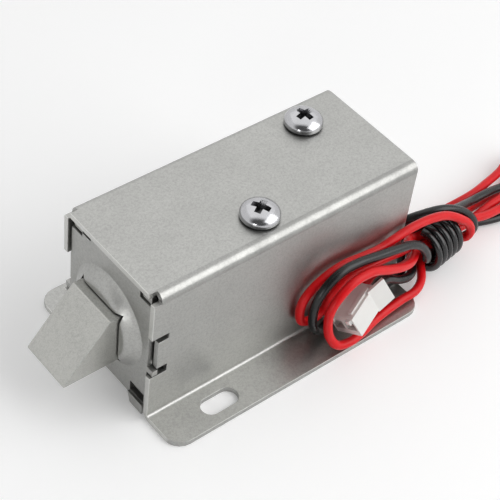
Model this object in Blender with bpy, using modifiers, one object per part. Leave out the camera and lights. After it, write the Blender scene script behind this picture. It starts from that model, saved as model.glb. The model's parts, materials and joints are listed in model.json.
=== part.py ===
"""Small solenoid cabinet lock: a slanted bolt drawn in by a coil, with two leads and a plug.

Metres, +Z up. +X runs to the rear of the case and the bolt points along -X. Pieces are modelled
from the middle of the case's open front end on the mounting plane. At the end the whole lock is
moved along X, so that the origin is the middle of its footprint.
"""

import math

import bmesh
import bpy
from mathutils import Euler, Matrix, Vector

MM = 0.001

# Clearances
SEAT_GAP = 0.3 * MM          # between two pieces that touch on the real lock
SLIDE_GAP = 0.3 * MM         # round a piece that slides
EDGE_GAP = 0.3 * MM          # round a tab in its slot
REACH = 5.0 * MM             # how far a cutter runs past the sheet it cuts

# Folded case
CASE_LENGTH = 53.6 * MM
CASE_WIDTH = 23.4 * MM
CASE_HEIGHT = 28.2 * MM
CASE_SHEET = 1.0 * MM
BEND_RADIUS = 0.5 * MM       # on the inside of each fold
FLANGE_SPAN = 38.8 * MM      # over both mounting flanges
FLANGE_CORNER = 3.0 * MM
SLOT_LENGTH = 7.0 * MM
SLOT_WIDTH = 3.5 * MM
SLOT_FROM_END = 11.5 * MM    # slot centre from either end of the case
SLOT_FROM_EDGE = 3.6 * MM    # slot centre from the flange's outer edge
RELIEF_LENGTH = 1.45 * MM    # cut-out at the front end of each top fold
RELIEF_DEPTH = 1.6 * MM

# Notch and locking tongue in each side wall
NOTCH_LENGTH = 3.3 * MM
NOTCH_BOTTOM = 10.2 * MM
NOTCH_TOP = 19.1 * MM
TONGUE_BOTTOM = 11.9 * MM
TONGUE_TOP = 17.9 * MM
TONGUE_FRONT = 1.3 * MM

# Latch bolt
BOLT_SIZE = 10.0 * MM        # square section
BOLT_REACH = 11.3 * MM       # tip ahead of the case
BOLT_FLAT = 2.95 * MM        # where the slanted face starts, ahead of the case
BOLT_TIP = 0.4 * MM          # height of the blunt tip
BOLT_EDGE = 0.35 * MM
COLLAR_RIM = 1.3 * MM        # collar's edge beyond the side of the bolt
COLLAR_LENGTH = 1.2 * MM
CLEVIS_SHOULDER = 0.5 * MM   # clevis's radius beyond the plunger's
CLEVIS_LENGTH = 5.4 * MM
CLEVIS_SLOT = 3.6 * MM
CLEVIS_ROOT = 0.9 * MM       # solid metal between the collar and the slot
BOLT_TRAVEL = 9.0 * MM

# Embossed front plate
PLATE_RECESS = 0.5 * MM      # plate face behind the front end of the case
PLATE_SHEET = 1.0 * MM
PLATE_SIDE_GAP = 0.4 * MM    # plate edge to the inside of the wall
DOME_MARGIN = 1.15 * MM      # flat plate left beside the emboss
DOME_HEIGHT = 1.9 * MM
DOME_SUNK = 0.05 * MM        # emboss's foot, let into the plate where they join
PLATE_BOTTOM = 1.4 * MM
FOOT_WIDTH = 3.2 * MM
FOOT_HEIGHT = 2.2 * MM
FOOT_SLANT = 1.4 * MM
FOOT_LIFT = 0.1 * MM         # foot above the mounting plane
FOOT_STEP = 0.05 * MM        # pressed part of the foot, inside its outline
WINDOW_WIDTH = 3.6 * MM
WINDOW_HEIGHT = 2.1 * MM
EAR_HEIGHT = 1.1 * MM
FAR_RELIEF_WIDTH = 2.2 * MM  # extra width of the notch at the far top corner
FAR_RELIEF_DEPTH = 1.0 * MM

# Magnet yoke and the plate across its mouth
YOKE_SHEET = 1.5 * MM
YOKE_SIDE_GAP = 0.7 * MM     # to the inside of each wall
YOKE_FLOOR = 1.3 * MM        # underside of the bottom leg
YOKE_REAR_INSET = 1.5 * MM   # rear leg ahead of the case's rear end
YOKE_TAB_WIDTH = 2.2 * MM
YOKE_TAB_LENGTH = 1.0 * MM
POLE_SHEET = 1.5 * MM
POLE_TAB_WIDTH = 7.4 * MM
POLE_SIDE_GAP = 0.3 * MM

# Coil
COIL_BUILD = 3.1 * MM        # thickness of the winding
TUBE_WALL = 0.4 * MM
TUBE_PROUD = 0.2 * MM        # ahead of the pole plate
BOBBIN_WALL = 0.8 * MM
BOBBIN_CHEEK = 1.2 * MM
CHEEK_CORNER = 3.0 * MM
WINDING_INSET = 0.8 * MM     # winding's surface inside the yoke's edge
TAPE_THICKNESS = 0.4 * MM
LUG_LENGTH = 3.0 * MM        # bobbin lug that leads both wires out through the yoke
LUG_WIDTH = 5.0 * MM
LUG_HEIGHT = 3.2 * MM
LUG_INSET = 0.5 * MM         # lug's outer side inside the yoke's edge
LUG_RISE = 8.0 * MM          # lug's middle above the mounting plane
LEAD_SPACING = 2.4 * MM
LEAD_HOLE_DEPTH = 1.5 * MM

# Plunger, fixed core and cross pin
PLUNGER_NECK = 0.5 * MM      # round part of the plunger behind the clevis
TONGUE_GAP = 0.4 * MM        # tongue's end to the bottom of the clevis slot
TONGUE_THICK = 3.0 * MM
TONGUE_INSET = 1.0 * MM      # tongue's edges inside the plunger's surface
CONE_LENGTH = 3.0 * MM
CONE_TIP_RADIUS = 1.5 * MM
CORE_LENGTH = 7.0 * MM
RIVET_SHOULDER = 1.5 * MM    # core's radius beyond the rivet's
RIVET_HEAD_RIM = 1.3 * MM    # rivet head's radius beyond the rivet's
RIVET_HEAD_LENGTH = 0.9 * MM
RIVET_HEAD_FLAT = 0.7        # share of the rivet head's radius
PIN_SHARE = 0.4              # pin's radius to half the tongue's height
PIN_FROM_END = 2.0 * MM      # pin's middle ahead of the clevis's rear end

# Return spring
SPRING_WIRE = 0.7 * MM
SPRING_LOOSE = 0.55 * MM     # between the clevis and the coils
SPRING_TURNS = 6.5
CLOSED_PITCH = 1.1 * SPRING_WIRE

# Case screws
SCREW_HEAD_RADIUS = 3.3 * MM
SCREW_HEAD_HEIGHT = 2.1 * MM
SCREW_HEAD_RIM = 0.5 * MM
SCREW_RADIUS = 1.5 * MM
SCREW_PROUD = 0.8 * MM       # screw's end inside the yoke
CROSS_WIDTH = 0.9 * MM
CROSS_LENGTH = 3.8 * MM
CROSS_DEPTH = 1.3 * MM
SCREW_SIDE = 6.5 * MM        # off the middle of the top, one to each side
SCREW_FRONT = 24.0 * MM
SCREW_SPACING = 20.0 * MM
SCREW_TURNS = (28, 8)        # degrees, how each cross happens to stand

# Leads
WIRE_DIAMETER = 1.6 * MM
LEAD_START = 0.3 * MM        # wire's end to the bottom of its hole in the lug
WIRE_RUN = 3 * WIRE_DIAMETER  # between two points of a wire's tube, at most
WIRE_BEND = 36               # degrees turned between two points, at most
CURVE_STEPS = 12

# Twist tie round the folded leads
TIE_FROM_CORNER = (9.1 * MM, 0.9 * MM, 5.0 * MM)
TIE_HEADING = 8.9            # degrees from the bolt's axis towards the far side
TIE_WIRE = 1.4 * MM
TIE_RADIUS = 4.25 * MM
TIE_REACH = 3.4 * MM         # from the middle to either end turn
TIE_TURNS = 4.5
TIE_FIRST = 90               # degrees from the far side over the top, where the first turn starts
TIE_TAIL = 3.0 * MM
TIE_TAIL_TURN = 36
TIE_STEPS = 16
LANE_RADIUS = 2.3 * MM       # wires in the tie stand round one in the middle
LANE_REACH = 3.5 * MM
LANE_TWIST = 54              # degrees that these wires turn from end to end

# Plug
PLUG_FROM_CORNER = (-13.96 * MM, -4.73 * MM, 6.27 * MM)
PLUG_TURN = (-28.2, -15.8, 19.4)
PLUG_LENGTH = 7.5 * MM
PLUG_DEPTH = 5.3 * MM
PLUG_THICKNESS = 4.3 * MM
PLUG_PITCH = 2.5 * MM
PLUG_WALL = 0.45 * MM        # between the rooms of the terminals
BORE_DEPTH = 2.2 * MM        # round part of each hole, at the wire's end
LIP_LENGTH = 1.8 * MM
LIP_SHEET = 0.6 * MM
LIP_MARGIN = 0.3 * MM        # lip's edge beyond the side of the housing
LIP_FLARE = 20               # degrees
RIB_HEIGHT = 0.4 * MM
RIB_WIDTH = 0.7 * MM
RIB_INSET = 0.9 * MM
KEY_SIZE = 0.9 * MM
KEY_PROUD = 0.5 * MM
KEY_INSET = 0.2 * MM
TERMINAL_RECESS = 0.5 * MM
PIN_HOLE_RADIUS = 0.4 * MM
PIN_HOLE_DEPTH = 2.5 * MM

# Colours (linear) and finishes
ZINC = ((0.46, 0.46, 0.44), 0.38, 1.0)
BRIGHT_ZINC = ((0.62, 0.62, 0.60), 0.22, 1.0)
SINTERED_STEEL = ((0.48, 0.47, 0.44), 0.45, 1.0)
SPRING_STEEL = ((0.30, 0.30, 0.31), 0.30, 1.0)
BRASS = ((0.72, 0.52, 0.22), 0.30, 1.0)
ENAMELLED_COPPER = ((0.52, 0.20, 0.07), 0.30, 1.0)
WHITE_NYLON = ((0.80, 0.79, 0.75), 0.45, 0.0)
YELLOW_TAPE = ((0.75, 0.62, 0.25), 0.45, 0.0)
RED_PVC = ((0.68, 0.02, 0.03), 0.38, 0.0)
BLACK_PVC = ((0.02, 0.02, 0.022), 0.40, 0.0)
TINNED = ((0.70, 0.69, 0.66), 0.30, 1.0)

# Smoothness of round work
FOLD_STEPS = 5
ROUND_STEPS = 32
DOME_STEPS = 48
COLLAR_STEPS = 40
PIN_STEPS = 20
SMALL_STEPS = 16
SLOT_STEPS = 10
EMBOSS_STEPS = 8
SCREW_DOME_STEPS = 6
SPRING_STEPS = 12
SMOOTH_ANGLE = 30            # degrees, up to which two faces are shaded as one
EDGE_ANGLE = 35              # degrees, from which the bolt's edges are broken
WELD_DISTANCE = 0.001 * MM

# Places worked out from the sizes above
WALL_OUTSIDE = CASE_WIDTH / 2
WALL_INSIDE = WALL_OUTSIDE - CASE_SHEET
CEILING = CASE_HEIGHT - CASE_SHEET
YOKE_WIDTH = 2 * (WALL_INSIDE - YOKE_SIDE_GAP)
YOKE_TOP = CEILING - SEAT_GAP
YOKE_INSIDE_TOP = YOKE_TOP - YOKE_SHEET
YOKE_INSIDE_FLOOR = YOKE_FLOOR + YOKE_SHEET
YOKE_REAR = CASE_LENGTH - YOKE_REAR_INSET
YOKE_INSIDE_REAR = YOKE_REAR - YOKE_SHEET
AXIS_HEIGHT = (YOKE_TOP + YOKE_FLOOR) / 2
PLATE_FACE = PLATE_RECESS
PLATE_BACK = PLATE_FACE + PLATE_SHEET
PLATE_HALF = WALL_INSIDE - PLATE_SIDE_GAP
PLATE_TOP = YOKE_TOP
YOKE_FRONT = PLATE_BACK + SEAT_GAP
TAPE_ROOM = (YOKE_INSIDE_TOP - YOKE_INSIDE_FLOOR) / 2 - TAPE_THICKNESS - 2 * SEAT_GAP
WINDING_OUTER = min(YOKE_WIDTH / 2 - WINDING_INSET, TAPE_ROOM)
WINDING_INNER = WINDING_OUTER - COIL_BUILD
BOBBIN_OUTER = WINDING_INNER - SEAT_GAP
BOBBIN_BORE = BOBBIN_OUTER - BOBBIN_WALL
TUBE_OUTER = BOBBIN_BORE - SEAT_GAP
TUBE_BORE = TUBE_OUTER - TUBE_WALL
PLUNGER_RADIUS = TUBE_BORE - SLIDE_GAP
CLEVIS_RADIUS = PLUNGER_RADIUS + CLEVIS_SHOULDER
SPRING_RADIUS = CLEVIS_RADIUS + SPRING_LOOSE + SPRING_WIRE / 2
COLLAR_RADIUS = max(BOLT_SIZE / 2 + COLLAR_RIM, SPRING_RADIUS + SPRING_WIRE / 2)
DOME_RADIUS = PLATE_HALF - DOME_MARGIN
DOME_FLAT_RADIUS = COLLAR_RADIUS
DOME_FRONT = PLATE_FACE - DOME_HEIGHT
COLLAR_FRONT = DOME_FRONT + PLATE_SHEET + SEAT_GAP
COLLAR_BACK = COLLAR_FRONT + COLLAR_LENGTH
CLEVIS_BACK = COLLAR_BACK + CLEVIS_LENGTH
PIN_PLACE = CLEVIS_BACK - PIN_FROM_END
POLE_FRONT = CLEVIS_BACK + BOLT_TRAVEL + SLIDE_GAP + TUBE_PROUD
POLE_BACK = POLE_FRONT + POLE_SHEET
BOBBIN_FRONT = POLE_BACK + SEAT_GAP
BOBBIN_BACK = YOKE_INSIDE_REAR - SEAT_GAP
LUG_SIDE = YOKE_WIDTH / 2 - LUG_INSET - LUG_WIDTH / 2
TONGUE_HALF = PLUNGER_RADIUS - TONGUE_INSET
PIN_RADIUS = PIN_SHARE * TONGUE_HALF
RIVET_RADIUS = PLUNGER_RADIUS - RIVET_SHOULDER
RIVET_HEAD_RADIUS = RIVET_RADIUS + RIVET_HEAD_RIM
CORE_FRONT = YOKE_INSIDE_REAR - SEAT_GAP - CORE_LENGTH
PLUNGER_SHOULDER = CORE_FRONT - BOLT_TRAVEL - SLIDE_GAP
PLUNGER_FRONT = CLEVIS_BACK + PLUNGER_NECK
TONGUE_START = COLLAR_BACK + CLEVIS_ROOT + TONGUE_GAP
SCREW_LENGTH = SCREW_PROUD + YOKE_SHEET + CASE_SHEET + 2 * SEAT_GAP
FOOTPRINT_MIDDLE = (CASE_LENGTH - BOLT_REACH) / 2
CASE_CORNER = Vector((CASE_LENGTH, -WALL_OUTSIDE, 0))
WIRE_BORE = WIRE_DIAMETER / 2 + SEAT_GAP
PLUG_ROOM = PLUG_PITCH - PLUG_WALL


def clear_scene():
    """Take every object out of the open file."""
    for thing in list(bpy.data.objects):
        bpy.data.objects.remove(thing, do_unlink=True)


def new_collection(name):
    """Make a collection under the scene."""
    made = bpy.data.collections.new(name)
    bpy.context.scene.collection.children.link(made)
    return made


def make_material(name, finish):
    """A Principled material from (colour, roughness, metallic)."""
    colour, roughness, metallic = finish
    material = bpy.data.materials.new(name)
    material.use_nodes = True
    shader = material.node_tree.nodes["Principled BSDF"]
    shader.inputs["Base Color"].default_value = (*colour, 1.0)
    shader.inputs["Roughness"].default_value = roughness
    shader.inputs["Metallic"].default_value = metallic
    return material


class Workshop:
    """Keeps the two collections and puts finished meshes into them."""

    def __init__(self):
        self.parts = new_collection("solenoid_lock")
        self.cutters = new_collection("cutters")

    def finish(self, thing, finish):
        """Give a piece its material and its shading."""
        thing.data.materials.clear()
        thing.data.materials.append(make_material(thing.name + "_finish", finish))
        thing.data.shade_smooth()
        thing.data.set_sharp_from_angle(angle=math.radians(SMOOTH_ANGLE))
        return thing

    def keep(self, name, mesh):
        """Link a mesh as one of the lock's pieces."""
        thing = bpy.data.objects.new(name, mesh)
        self.parts.objects.link(thing)
        return thing

    def cutter(self, name, mesh):
        """Link a mesh as a hidden cutter."""
        thing = bpy.data.objects.new(name, mesh)
        thing.hide_render = True
        thing.display_type = "WIRE"
        self.cutters.objects.link(thing)
        return thing

    def combine(self, thing, other, operation):
        """Cut or join with a Boolean and keep the result as the piece's own mesh."""
        change = thing.modifiers.new(other.name, "BOOLEAN")
        change.operation = operation
        change.solver = "EXACT"
        change.object = other
        apply_modifiers(thing)
        weld(thing.data)
        return thing

    def cut(self, thing, name, mesh):
        """Take a mesh's volume away from a piece."""
        return self.combine(thing, self.cutter(name, mesh), "DIFFERENCE")

    def join(self, thing, name, mesh):
        """Add a mesh's volume to a piece."""
        return self.combine(thing, self.cutter(name, mesh), "UNION")

    def trim(self, thing, name, mesh):
        """Keep only what lies inside a mesh's volume."""
        return self.combine(thing, self.cutter(name, mesh), "INTERSECT")


def evaluated_mesh(thing):
    """The mesh that an object shows, as a new mesh."""
    graph = bpy.context.evaluated_depsgraph_get()
    graph.update()
    return bpy.data.meshes.new_from_object(thing.evaluated_get(graph))


def apply_modifiers(thing):
    """Turn an object's modifiers into plain mesh."""
    mesh = evaluated_mesh(thing)
    thing.modifiers.clear()
    thing.data = mesh


def weld(mesh, one_face_caps=False):
    """Close the loose caps and seams of a mesh; each cap can be made one face."""
    shape = bmesh.new()
    shape.from_mesh(mesh)
    bmesh.ops.remove_doubles(shape, verts=shape.verts, dist=WELD_DISTANCE)
    if one_face_caps:
        inner = [edge for edge in shape.edges if all(is_level(face) for face in edge.link_faces)]
        bmesh.ops.dissolve_edges(shape, edges=inner, use_verts=False)
    shape.to_mesh(mesh)
    shape.free()
    return mesh


def is_level(face):
    """True where all corners of a face are at one height."""
    heights = [vert.co.z for vert in face.verts]
    return max(heights) - min(heights) < WELD_DISTANCE


def mesh_of(shape, name):
    """Turn a bmesh into a mesh."""
    mesh = bpy.data.meshes.new(name)
    shape.to_mesh(mesh)
    shape.free()
    return mesh


def box(low, high):
    """A box between two corners."""
    low, high = Vector(low), Vector(high)
    size = high - low
    place = Matrix.Translation((low + high) / 2) @ Matrix.Diagonal((*size, 1.0))
    shape = bmesh.new()
    bmesh.ops.create_cube(shape, size=1.0, matrix=place)
    return mesh_of(shape, "box")


def rod(start, end, radius, steps=ROUND_STEPS):
    """A round bar between two points."""
    start, end = Vector(start), Vector(end)
    along = end - start
    turn = along.to_track_quat("Z", "Y").to_matrix().to_4x4()
    place = Matrix.Translation((start + end) / 2) @ turn
    shape = bmesh.new()
    bmesh.ops.create_cone(shape, cap_ends=True, segments=steps, radius1=radius,
                          radius2=radius, depth=along.length, matrix=place)
    return mesh_of(shape, "rod")


PLANES = {
    "XY": Matrix(((1, 0, 0), (0, 1, 0), (0, 0, 1))).to_4x4(),
    "YZ": Matrix(((0, 0, 1), (1, 0, 0), (0, 1, 0))).to_4x4(),
    "XZ": Matrix(((1, 0, 0), (0, 0, -1), (0, 1, 0))).to_4x4(),
}


def sheet(loops, plane, start, end):
    """A flat piece: closed outlines filled and given thickness from start to end."""
    curve = bpy.data.curves.new("outline", "CURVE")
    curve.dimensions = "2D"
    curve.fill_mode = "BOTH"
    curve.extrude = abs(end - start) / 2
    for loop in loops:
        spline = curve.splines.new("POLY")
        spline.points.add(len(loop) - 1)
        for point, (across, up) in zip(spline.points, loop):
            point.co = (across, up, 0, 1)
        spline.use_cyclic_u = True
    holder = bpy.data.objects.new("outline", curve)
    bpy.context.scene.collection.objects.link(holder)
    mesh = weld(evaluated_mesh(holder), one_face_caps=len(loops) == 1)
    bpy.data.objects.remove(holder)
    middle = (start + end) / 2
    mesh.transform(PLANES[plane] @ Matrix.Translation((0, 0, -middle if plane == "XZ" else middle)))
    return mesh


def arc(centre, radius, start, end, steps=FOLD_STEPS):
    """Points on an arc, angles in degrees."""
    angles = [math.radians(start + (end - start) * i / steps) for i in range(steps + 1)]
    return [(centre[0] + radius * math.cos(a), centre[1] + radius * math.sin(a)) for a in angles]


def rounded_rectangle(low, high, radius, steps=FOLD_STEPS):
    """The outline of a rectangle with round corners."""
    (left, bottom), (right, top) = low, high
    return (arc((right - radius, top - radius), radius, 0, 90, steps)
            + arc((left + radius, top - radius), radius, 90, 180, steps)
            + arc((left + radius, bottom + radius), radius, 180, 270, steps)
            + arc((right - radius, bottom + radius), radius, 270, 360, steps))


def stadium(centre, length, width, steps=SLOT_STEPS):
    """The outline of a round-ended slot along the first axis."""
    radius = width / 2
    reach = length / 2 - radius
    return (arc((centre[0] + reach, centre[1]), radius, -90, 90, steps)
            + arc((centre[0] - reach, centre[1]), radius, 90, 270, steps))


def folded_strip(middle, thickness, inside_radius, steps=FOLD_STEPS):
    """The edge view of a folded sheet that follows a middle line of straight runs."""
    middle = [Vector(point) for point in middle]
    runs = [(b - a).normalized() for a, b in zip(middle, middle[1:])]
    normals = [Vector((-run.y, run.x)) for run in runs]
    sides = []
    for side in (1, -1):
        line = [middle[0] + normals[0] * side * thickness / 2]
        for corner, before, after in zip(middle[1:-1], normals, normals[1:]):
            line += fold_points(corner, before, after, side, thickness, inside_radius, steps)
        line.append(middle[-1] + normals[-1] * side * thickness / 2)
        sides.append(line)
    return [tuple(point) for point in sides[0] + sides[1][::-1]]


def fold_points(corner, before, after, side, thickness, inside_radius, steps):
    """Points round one fold on one side of the sheet."""
    turn = 1 if before.x * after.y - before.y * after.x > 0 else -1
    middle_radius = inside_radius + thickness / 2
    half = before.angle(after) / 2
    centre = corner + (before + after).normalized() * turn * middle_radius / math.cos(half)
    radius = middle_radius - side * turn * thickness / 2
    start = math.atan2(before.y, before.x)
    sweep = turn * before.angle(after)
    angles = [start + sweep * i / steps for i in range(steps + 1)]
    return [centre - Vector((math.cos(a), math.sin(a))) * turn * radius for a in angles]


def turned(profile, steps=ROUND_STEPS, closed=False):
    """A turned shape about the bolt's axis; the profile is (place along X, radius).

    The profile is listed from the rear end to the front end along its outer side.
    """
    mesh = bpy.data.meshes.new("profile")
    points = [(radius, 0, along) for along, radius in profile]
    edges = [(i, i + 1) for i in range(len(points) - 1)]
    if closed:
        edges.append((len(points) - 1, 0))
    mesh.from_pydata(points, edges, [])
    holder = bpy.data.objects.new("profile", mesh)
    bpy.context.scene.collection.objects.link(holder)
    screw = holder.modifiers.new("turn", "SCREW")
    screw.axis = "Z"
    screw.steps = steps
    screw.render_steps = steps
    screw.use_merge_vertices = True
    screw.merge_threshold = WELD_DISTANCE
    made = evaluated_mesh(holder)
    bpy.data.objects.remove(holder)
    made.transform(Matrix.Translation((0, 0, AXIS_HEIGHT)) @ Matrix.Rotation(math.pi / 2, 4, "Y"))
    return made


def tube_along(points, radius, resolution=2):
    """A round wire through a list of points, with closed ends."""
    curve = bpy.data.curves.new("wire", "CURVE")
    curve.dimensions = "3D"
    curve.bevel_depth = radius
    curve.bevel_resolution = resolution
    curve.use_fill_caps = True
    spline = curve.splines.new("POLY")
    spline.points.add(len(points) - 1)
    for point, place in zip(spline.points, points):
        point.co = (*place, 1)
    holder = bpy.data.objects.new("wire", curve)
    bpy.context.scene.collection.objects.link(holder)
    mesh = weld(evaluated_mesh(holder))
    bpy.data.objects.remove(holder)
    return mesh


def both_sides(low, high):
    """A box and its mirror image across the middle of the case."""
    (x0, y0, z0), (x1, y1, z1) = low, high
    yield "near", box((x0, -y1, z0), (x1, -y0, z1))
    yield "far", box((x0, y0, z0), (x1, y1, z1))


def build_case(shop):
    """The folded case: top, two walls and two slotted flanges from one sheet."""
    half = WALL_OUTSIDE - CASE_SHEET / 2
    edge = FLANGE_SPAN / 2
    low = CASE_SHEET / 2
    high = CASE_HEIGHT - CASE_SHEET / 2
    middle = [(edge, low), (half, low), (half, high), (-half, high), (-half, low), (-edge, low)]
    outline = folded_strip(middle, CASE_SHEET, BEND_RADIUS)
    case = shop.keep("case_shell", sheet([outline], "YZ", 0, CASE_LENGTH))
    plan = rounded_rectangle((0, -edge), (CASE_LENGTH, edge), FLANGE_CORNER)
    shop.trim(case, "flange_corners", sheet([plan], "XY", -REACH, CASE_HEIGHT + REACH))
    for x in (SLOT_FROM_END, CASE_LENGTH - SLOT_FROM_END):
        for y in (edge - SLOT_FROM_EDGE, SLOT_FROM_EDGE - edge):
            slot = sheet([stadium((x, y), SLOT_LENGTH, SLOT_WIDTH)], "XY", -REACH, CASE_SHEET + REACH)
            shop.cut(case, "mounting_slot", slot)
    cut_case_corners(shop, case)
    cut_case_tongues(shop, case)
    for x, y in screw_places():
        hole = rod((x, y, CEILING - REACH), (x, y, CASE_HEIGHT + REACH), SCREW_RADIUS + SLIDE_GAP)
        shop.cut(case, "screw_hole", hole)
    return shop.finish(case, ZINC)


def cut_case_corners(shop, case):
    """Open the front end of both top folds."""
    fold_start = WALL_OUTSIDE - CASE_SHEET - BEND_RADIUS
    low = (-REACH, fold_start, CASE_HEIGHT - RELIEF_DEPTH)
    high = (RELIEF_LENGTH, WALL_OUTSIDE + REACH, CASE_HEIGHT + REACH)
    for side, cutter in both_sides(low, high):
        shop.cut(case, "corner_relief_" + side, cutter)


def cut_case_tongues(shop, case):
    """Cut the notch in the front edge of each wall round its locking tongue."""
    outline = [(-REACH, NOTCH_BOTTOM), (NOTCH_LENGTH, NOTCH_BOTTOM), (NOTCH_LENGTH, TONGUE_BOTTOM),
               (TONGUE_FRONT, TONGUE_BOTTOM), (TONGUE_FRONT, TONGUE_TOP), (NOTCH_LENGTH, TONGUE_TOP),
               (NOTCH_LENGTH, NOTCH_TOP), (-REACH, NOTCH_TOP)]
    inside, outside = WALL_INSIDE - SEAT_GAP, WALL_OUTSIDE + REACH
    shop.cut(case, "notch_far", sheet([outline], "XZ", inside, outside))
    shop.cut(case, "notch_near", sheet([outline], "XZ", -outside, -inside))


def screw_places():
    """The two case screws stand on a diagonal of the top."""
    return [(SCREW_FRONT, -SCREW_SIDE), (SCREW_FRONT + SCREW_SPACING, SCREW_SIDE)]


def dome_profile(foot, flat):
    """One side of the emboss, as (place along X, radius), from its foot to its flat."""
    width = DOME_RADIUS - DOME_FLAT_RADIUS
    points = []
    for i in range(EMBOSS_STEPS + 1):
        share = i / EMBOSS_STEPS
        rise = (1 - math.cos(math.pi * share)) / 2
        points.append((foot + (flat - foot) * rise, DOME_RADIUS - width * share))
    return points


def front_plate_outline():
    """The plate's edge, counter-clockwise as seen from the rear, starting at the lower middle."""
    foot_out = PLATE_HALF
    foot_in = foot_out - FOOT_WIDTH
    ear_low = NOTCH_BOTTOM + SEAT_GAP
    ear_high = ear_low + EAR_HEIGHT
    notch = PLATE_HALF - YOKE_TAB_WIDTH - 2 * EDGE_GAP
    notch_floor = YOKE_INSIDE_TOP - EDGE_GAP
    wide = notch - FAR_RELIEF_WIDTH
    right = [(foot_in - FOOT_SLANT, PLATE_BOTTOM), (foot_in, FOOT_LIFT), (foot_out, FOOT_LIFT),
             (foot_out, ear_low), (WALL_OUTSIDE, ear_low), (WALL_OUTSIDE, ear_high),
             (foot_out, ear_high), (foot_out, notch_floor), (notch, notch_floor)]
    far_step = [(notch, PLATE_TOP - FAR_RELIEF_DEPTH), (wide, PLATE_TOP - FAR_RELIEF_DEPTH),
                (wide, PLATE_TOP)]
    near_step = [(-notch, PLATE_TOP)]
    left = [(-y, z) for y, z in right[::-1]]
    return right + far_step + near_step + left


def build_front_plate(shop):
    """The front plate: embossed ring, square bolt hole, ears, feet and yoke notches."""
    plate = shop.keep("front_plate", sheet([front_plate_outline()], "YZ", PLATE_FACE, PLATE_BACK))
    opening = rod((PLATE_FACE - REACH, 0, AXIS_HEIGHT), (PLATE_BACK + REACH, 0, AXIS_HEIGHT),
                  DOME_RADIUS - PLATE_SHEET / 2, steps=DOME_STEPS)
    shop.cut(plate, "dome_seat", opening)
    outer = dome_profile(PLATE_FACE + DOME_SUNK, DOME_FRONT)
    inner = dome_profile(PLATE_BACK - DOME_SUNK, DOME_FRONT + PLATE_SHEET)
    centre = BOLT_SIZE / 4
    root = DOME_RADIUS + PLATE_SHEET / 3
    middle = PLATE_SHEET / 3
    profile = ([(PLATE_BACK - middle, root), (PLATE_FACE + middle, root)] + outer
               + [(DOME_FRONT, centre), (DOME_FRONT + PLATE_SHEET, centre)] + inner[::-1])
    half = BOLT_SIZE / 2 + SLIDE_GAP
    dome = shop.cutter("dome", turned(profile, DOME_STEPS, closed=True))
    shop.cut(dome, "bolt_hole", box((DOME_FRONT - REACH, -half, AXIS_HEIGHT - half),
                                    (PLATE_BACK + REACH, half, AXIS_HEIGHT + half)))
    shop.combine(plate, dome, "UNION")
    add_plate_feet(shop, plate)
    return shop.finish(plate, ZINC)


def add_plate_feet(shop, plate):
    """Press each foot forward to the case's front end and open the window above it."""
    foot_out = PLATE_HALF - FOOT_STEP
    foot_in = PLATE_HALF - FOOT_WIDTH + FOOT_STEP
    low = FOOT_LIFT + FOOT_STEP
    top = FOOT_LIFT + FOOT_HEIGHT
    for side, sign in (("near", -1), ("far", 1)):
        outline = [(sign * foot_in, low), (sign * foot_out, low), (sign * foot_out, top - FOOT_STEP),
                   (sign * (foot_in - FOOT_SLANT / 2), top - FOOT_STEP)]
        shop.join(plate, "foot_" + side, sheet([outline[::sign]], "YZ", 0, PLATE_FACE + PLATE_SHEET / 2))
    low = (PLATE_FACE - REACH, PLATE_HALF - EDGE_GAP - WINDOW_WIDTH, top)
    high = (PLATE_BACK + REACH, PLATE_HALF - EDGE_GAP, top + WINDOW_HEIGHT)
    for side, cutter in both_sides(low, high):
        shop.cut(plate, "window_" + side, cutter)


def build_yoke(shop):
    """The magnet yoke: a folded strip over, behind and under the coil."""
    top = YOKE_TOP - YOKE_SHEET / 2
    floor = YOKE_FLOOR + YOKE_SHEET / 2
    rear = YOKE_REAR - YOKE_SHEET / 2
    start = YOKE_FRONT - YOKE_TAB_LENGTH
    half = YOKE_WIDTH / 2
    outline = folded_strip([(start, top), (rear, top), (rear, floor), (start, floor)],
                           YOKE_SHEET, BEND_RADIUS)
    yoke = shop.keep("yoke", sheet([outline], "XZ", -half, half))
    tab_in = PLATE_HALF - YOKE_TAB_WIDTH - EDGE_GAP
    shop.cut(yoke, "between_tabs", box((start - REACH, -tab_in, YOKE_INSIDE_TOP - EDGE_GAP),
                                       (YOKE_FRONT, tab_in, YOKE_TOP + REACH)))
    shop.cut(yoke, "bottom_leg_end", box((start - REACH, -half - REACH, YOKE_FLOOR - REACH),
                                         (YOKE_FRONT, half + REACH, YOKE_INSIDE_FLOOR + EDGE_GAP)))
    slot = POLE_TAB_WIDTH / 2 + EDGE_GAP
    shop.cut(yoke, "pole_plate_slots", box((POLE_FRONT - EDGE_GAP, -slot, YOKE_FLOOR - REACH),
                                           (POLE_BACK + EDGE_GAP, slot, YOKE_TOP + REACH)))
    for x, y in screw_places():
        hole = rod((x, y, YOKE_INSIDE_TOP - REACH), (x, y, YOKE_TOP + REACH), SCREW_RADIUS + SLIDE_GAP)
        shop.cut(yoke, "tapped_hole", hole)
    rivet = rod((YOKE_INSIDE_REAR - REACH, 0, AXIS_HEIGHT), (YOKE_REAR + REACH, 0, AXIS_HEIGHT),
                RIVET_RADIUS + SEAT_GAP)
    shop.cut(yoke, "rivet_hole", rivet)
    (low_y, high_y), (low_z, high_z) = lug_section()
    shop.cut(yoke, "lead_notch", box((YOKE_INSIDE_REAR - REACH, -half - REACH, low_z - EDGE_GAP),
                                     (YOKE_REAR + REACH, high_y + EDGE_GAP, high_z + EDGE_GAP)))
    return shop.finish(yoke, ZINC)


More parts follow.
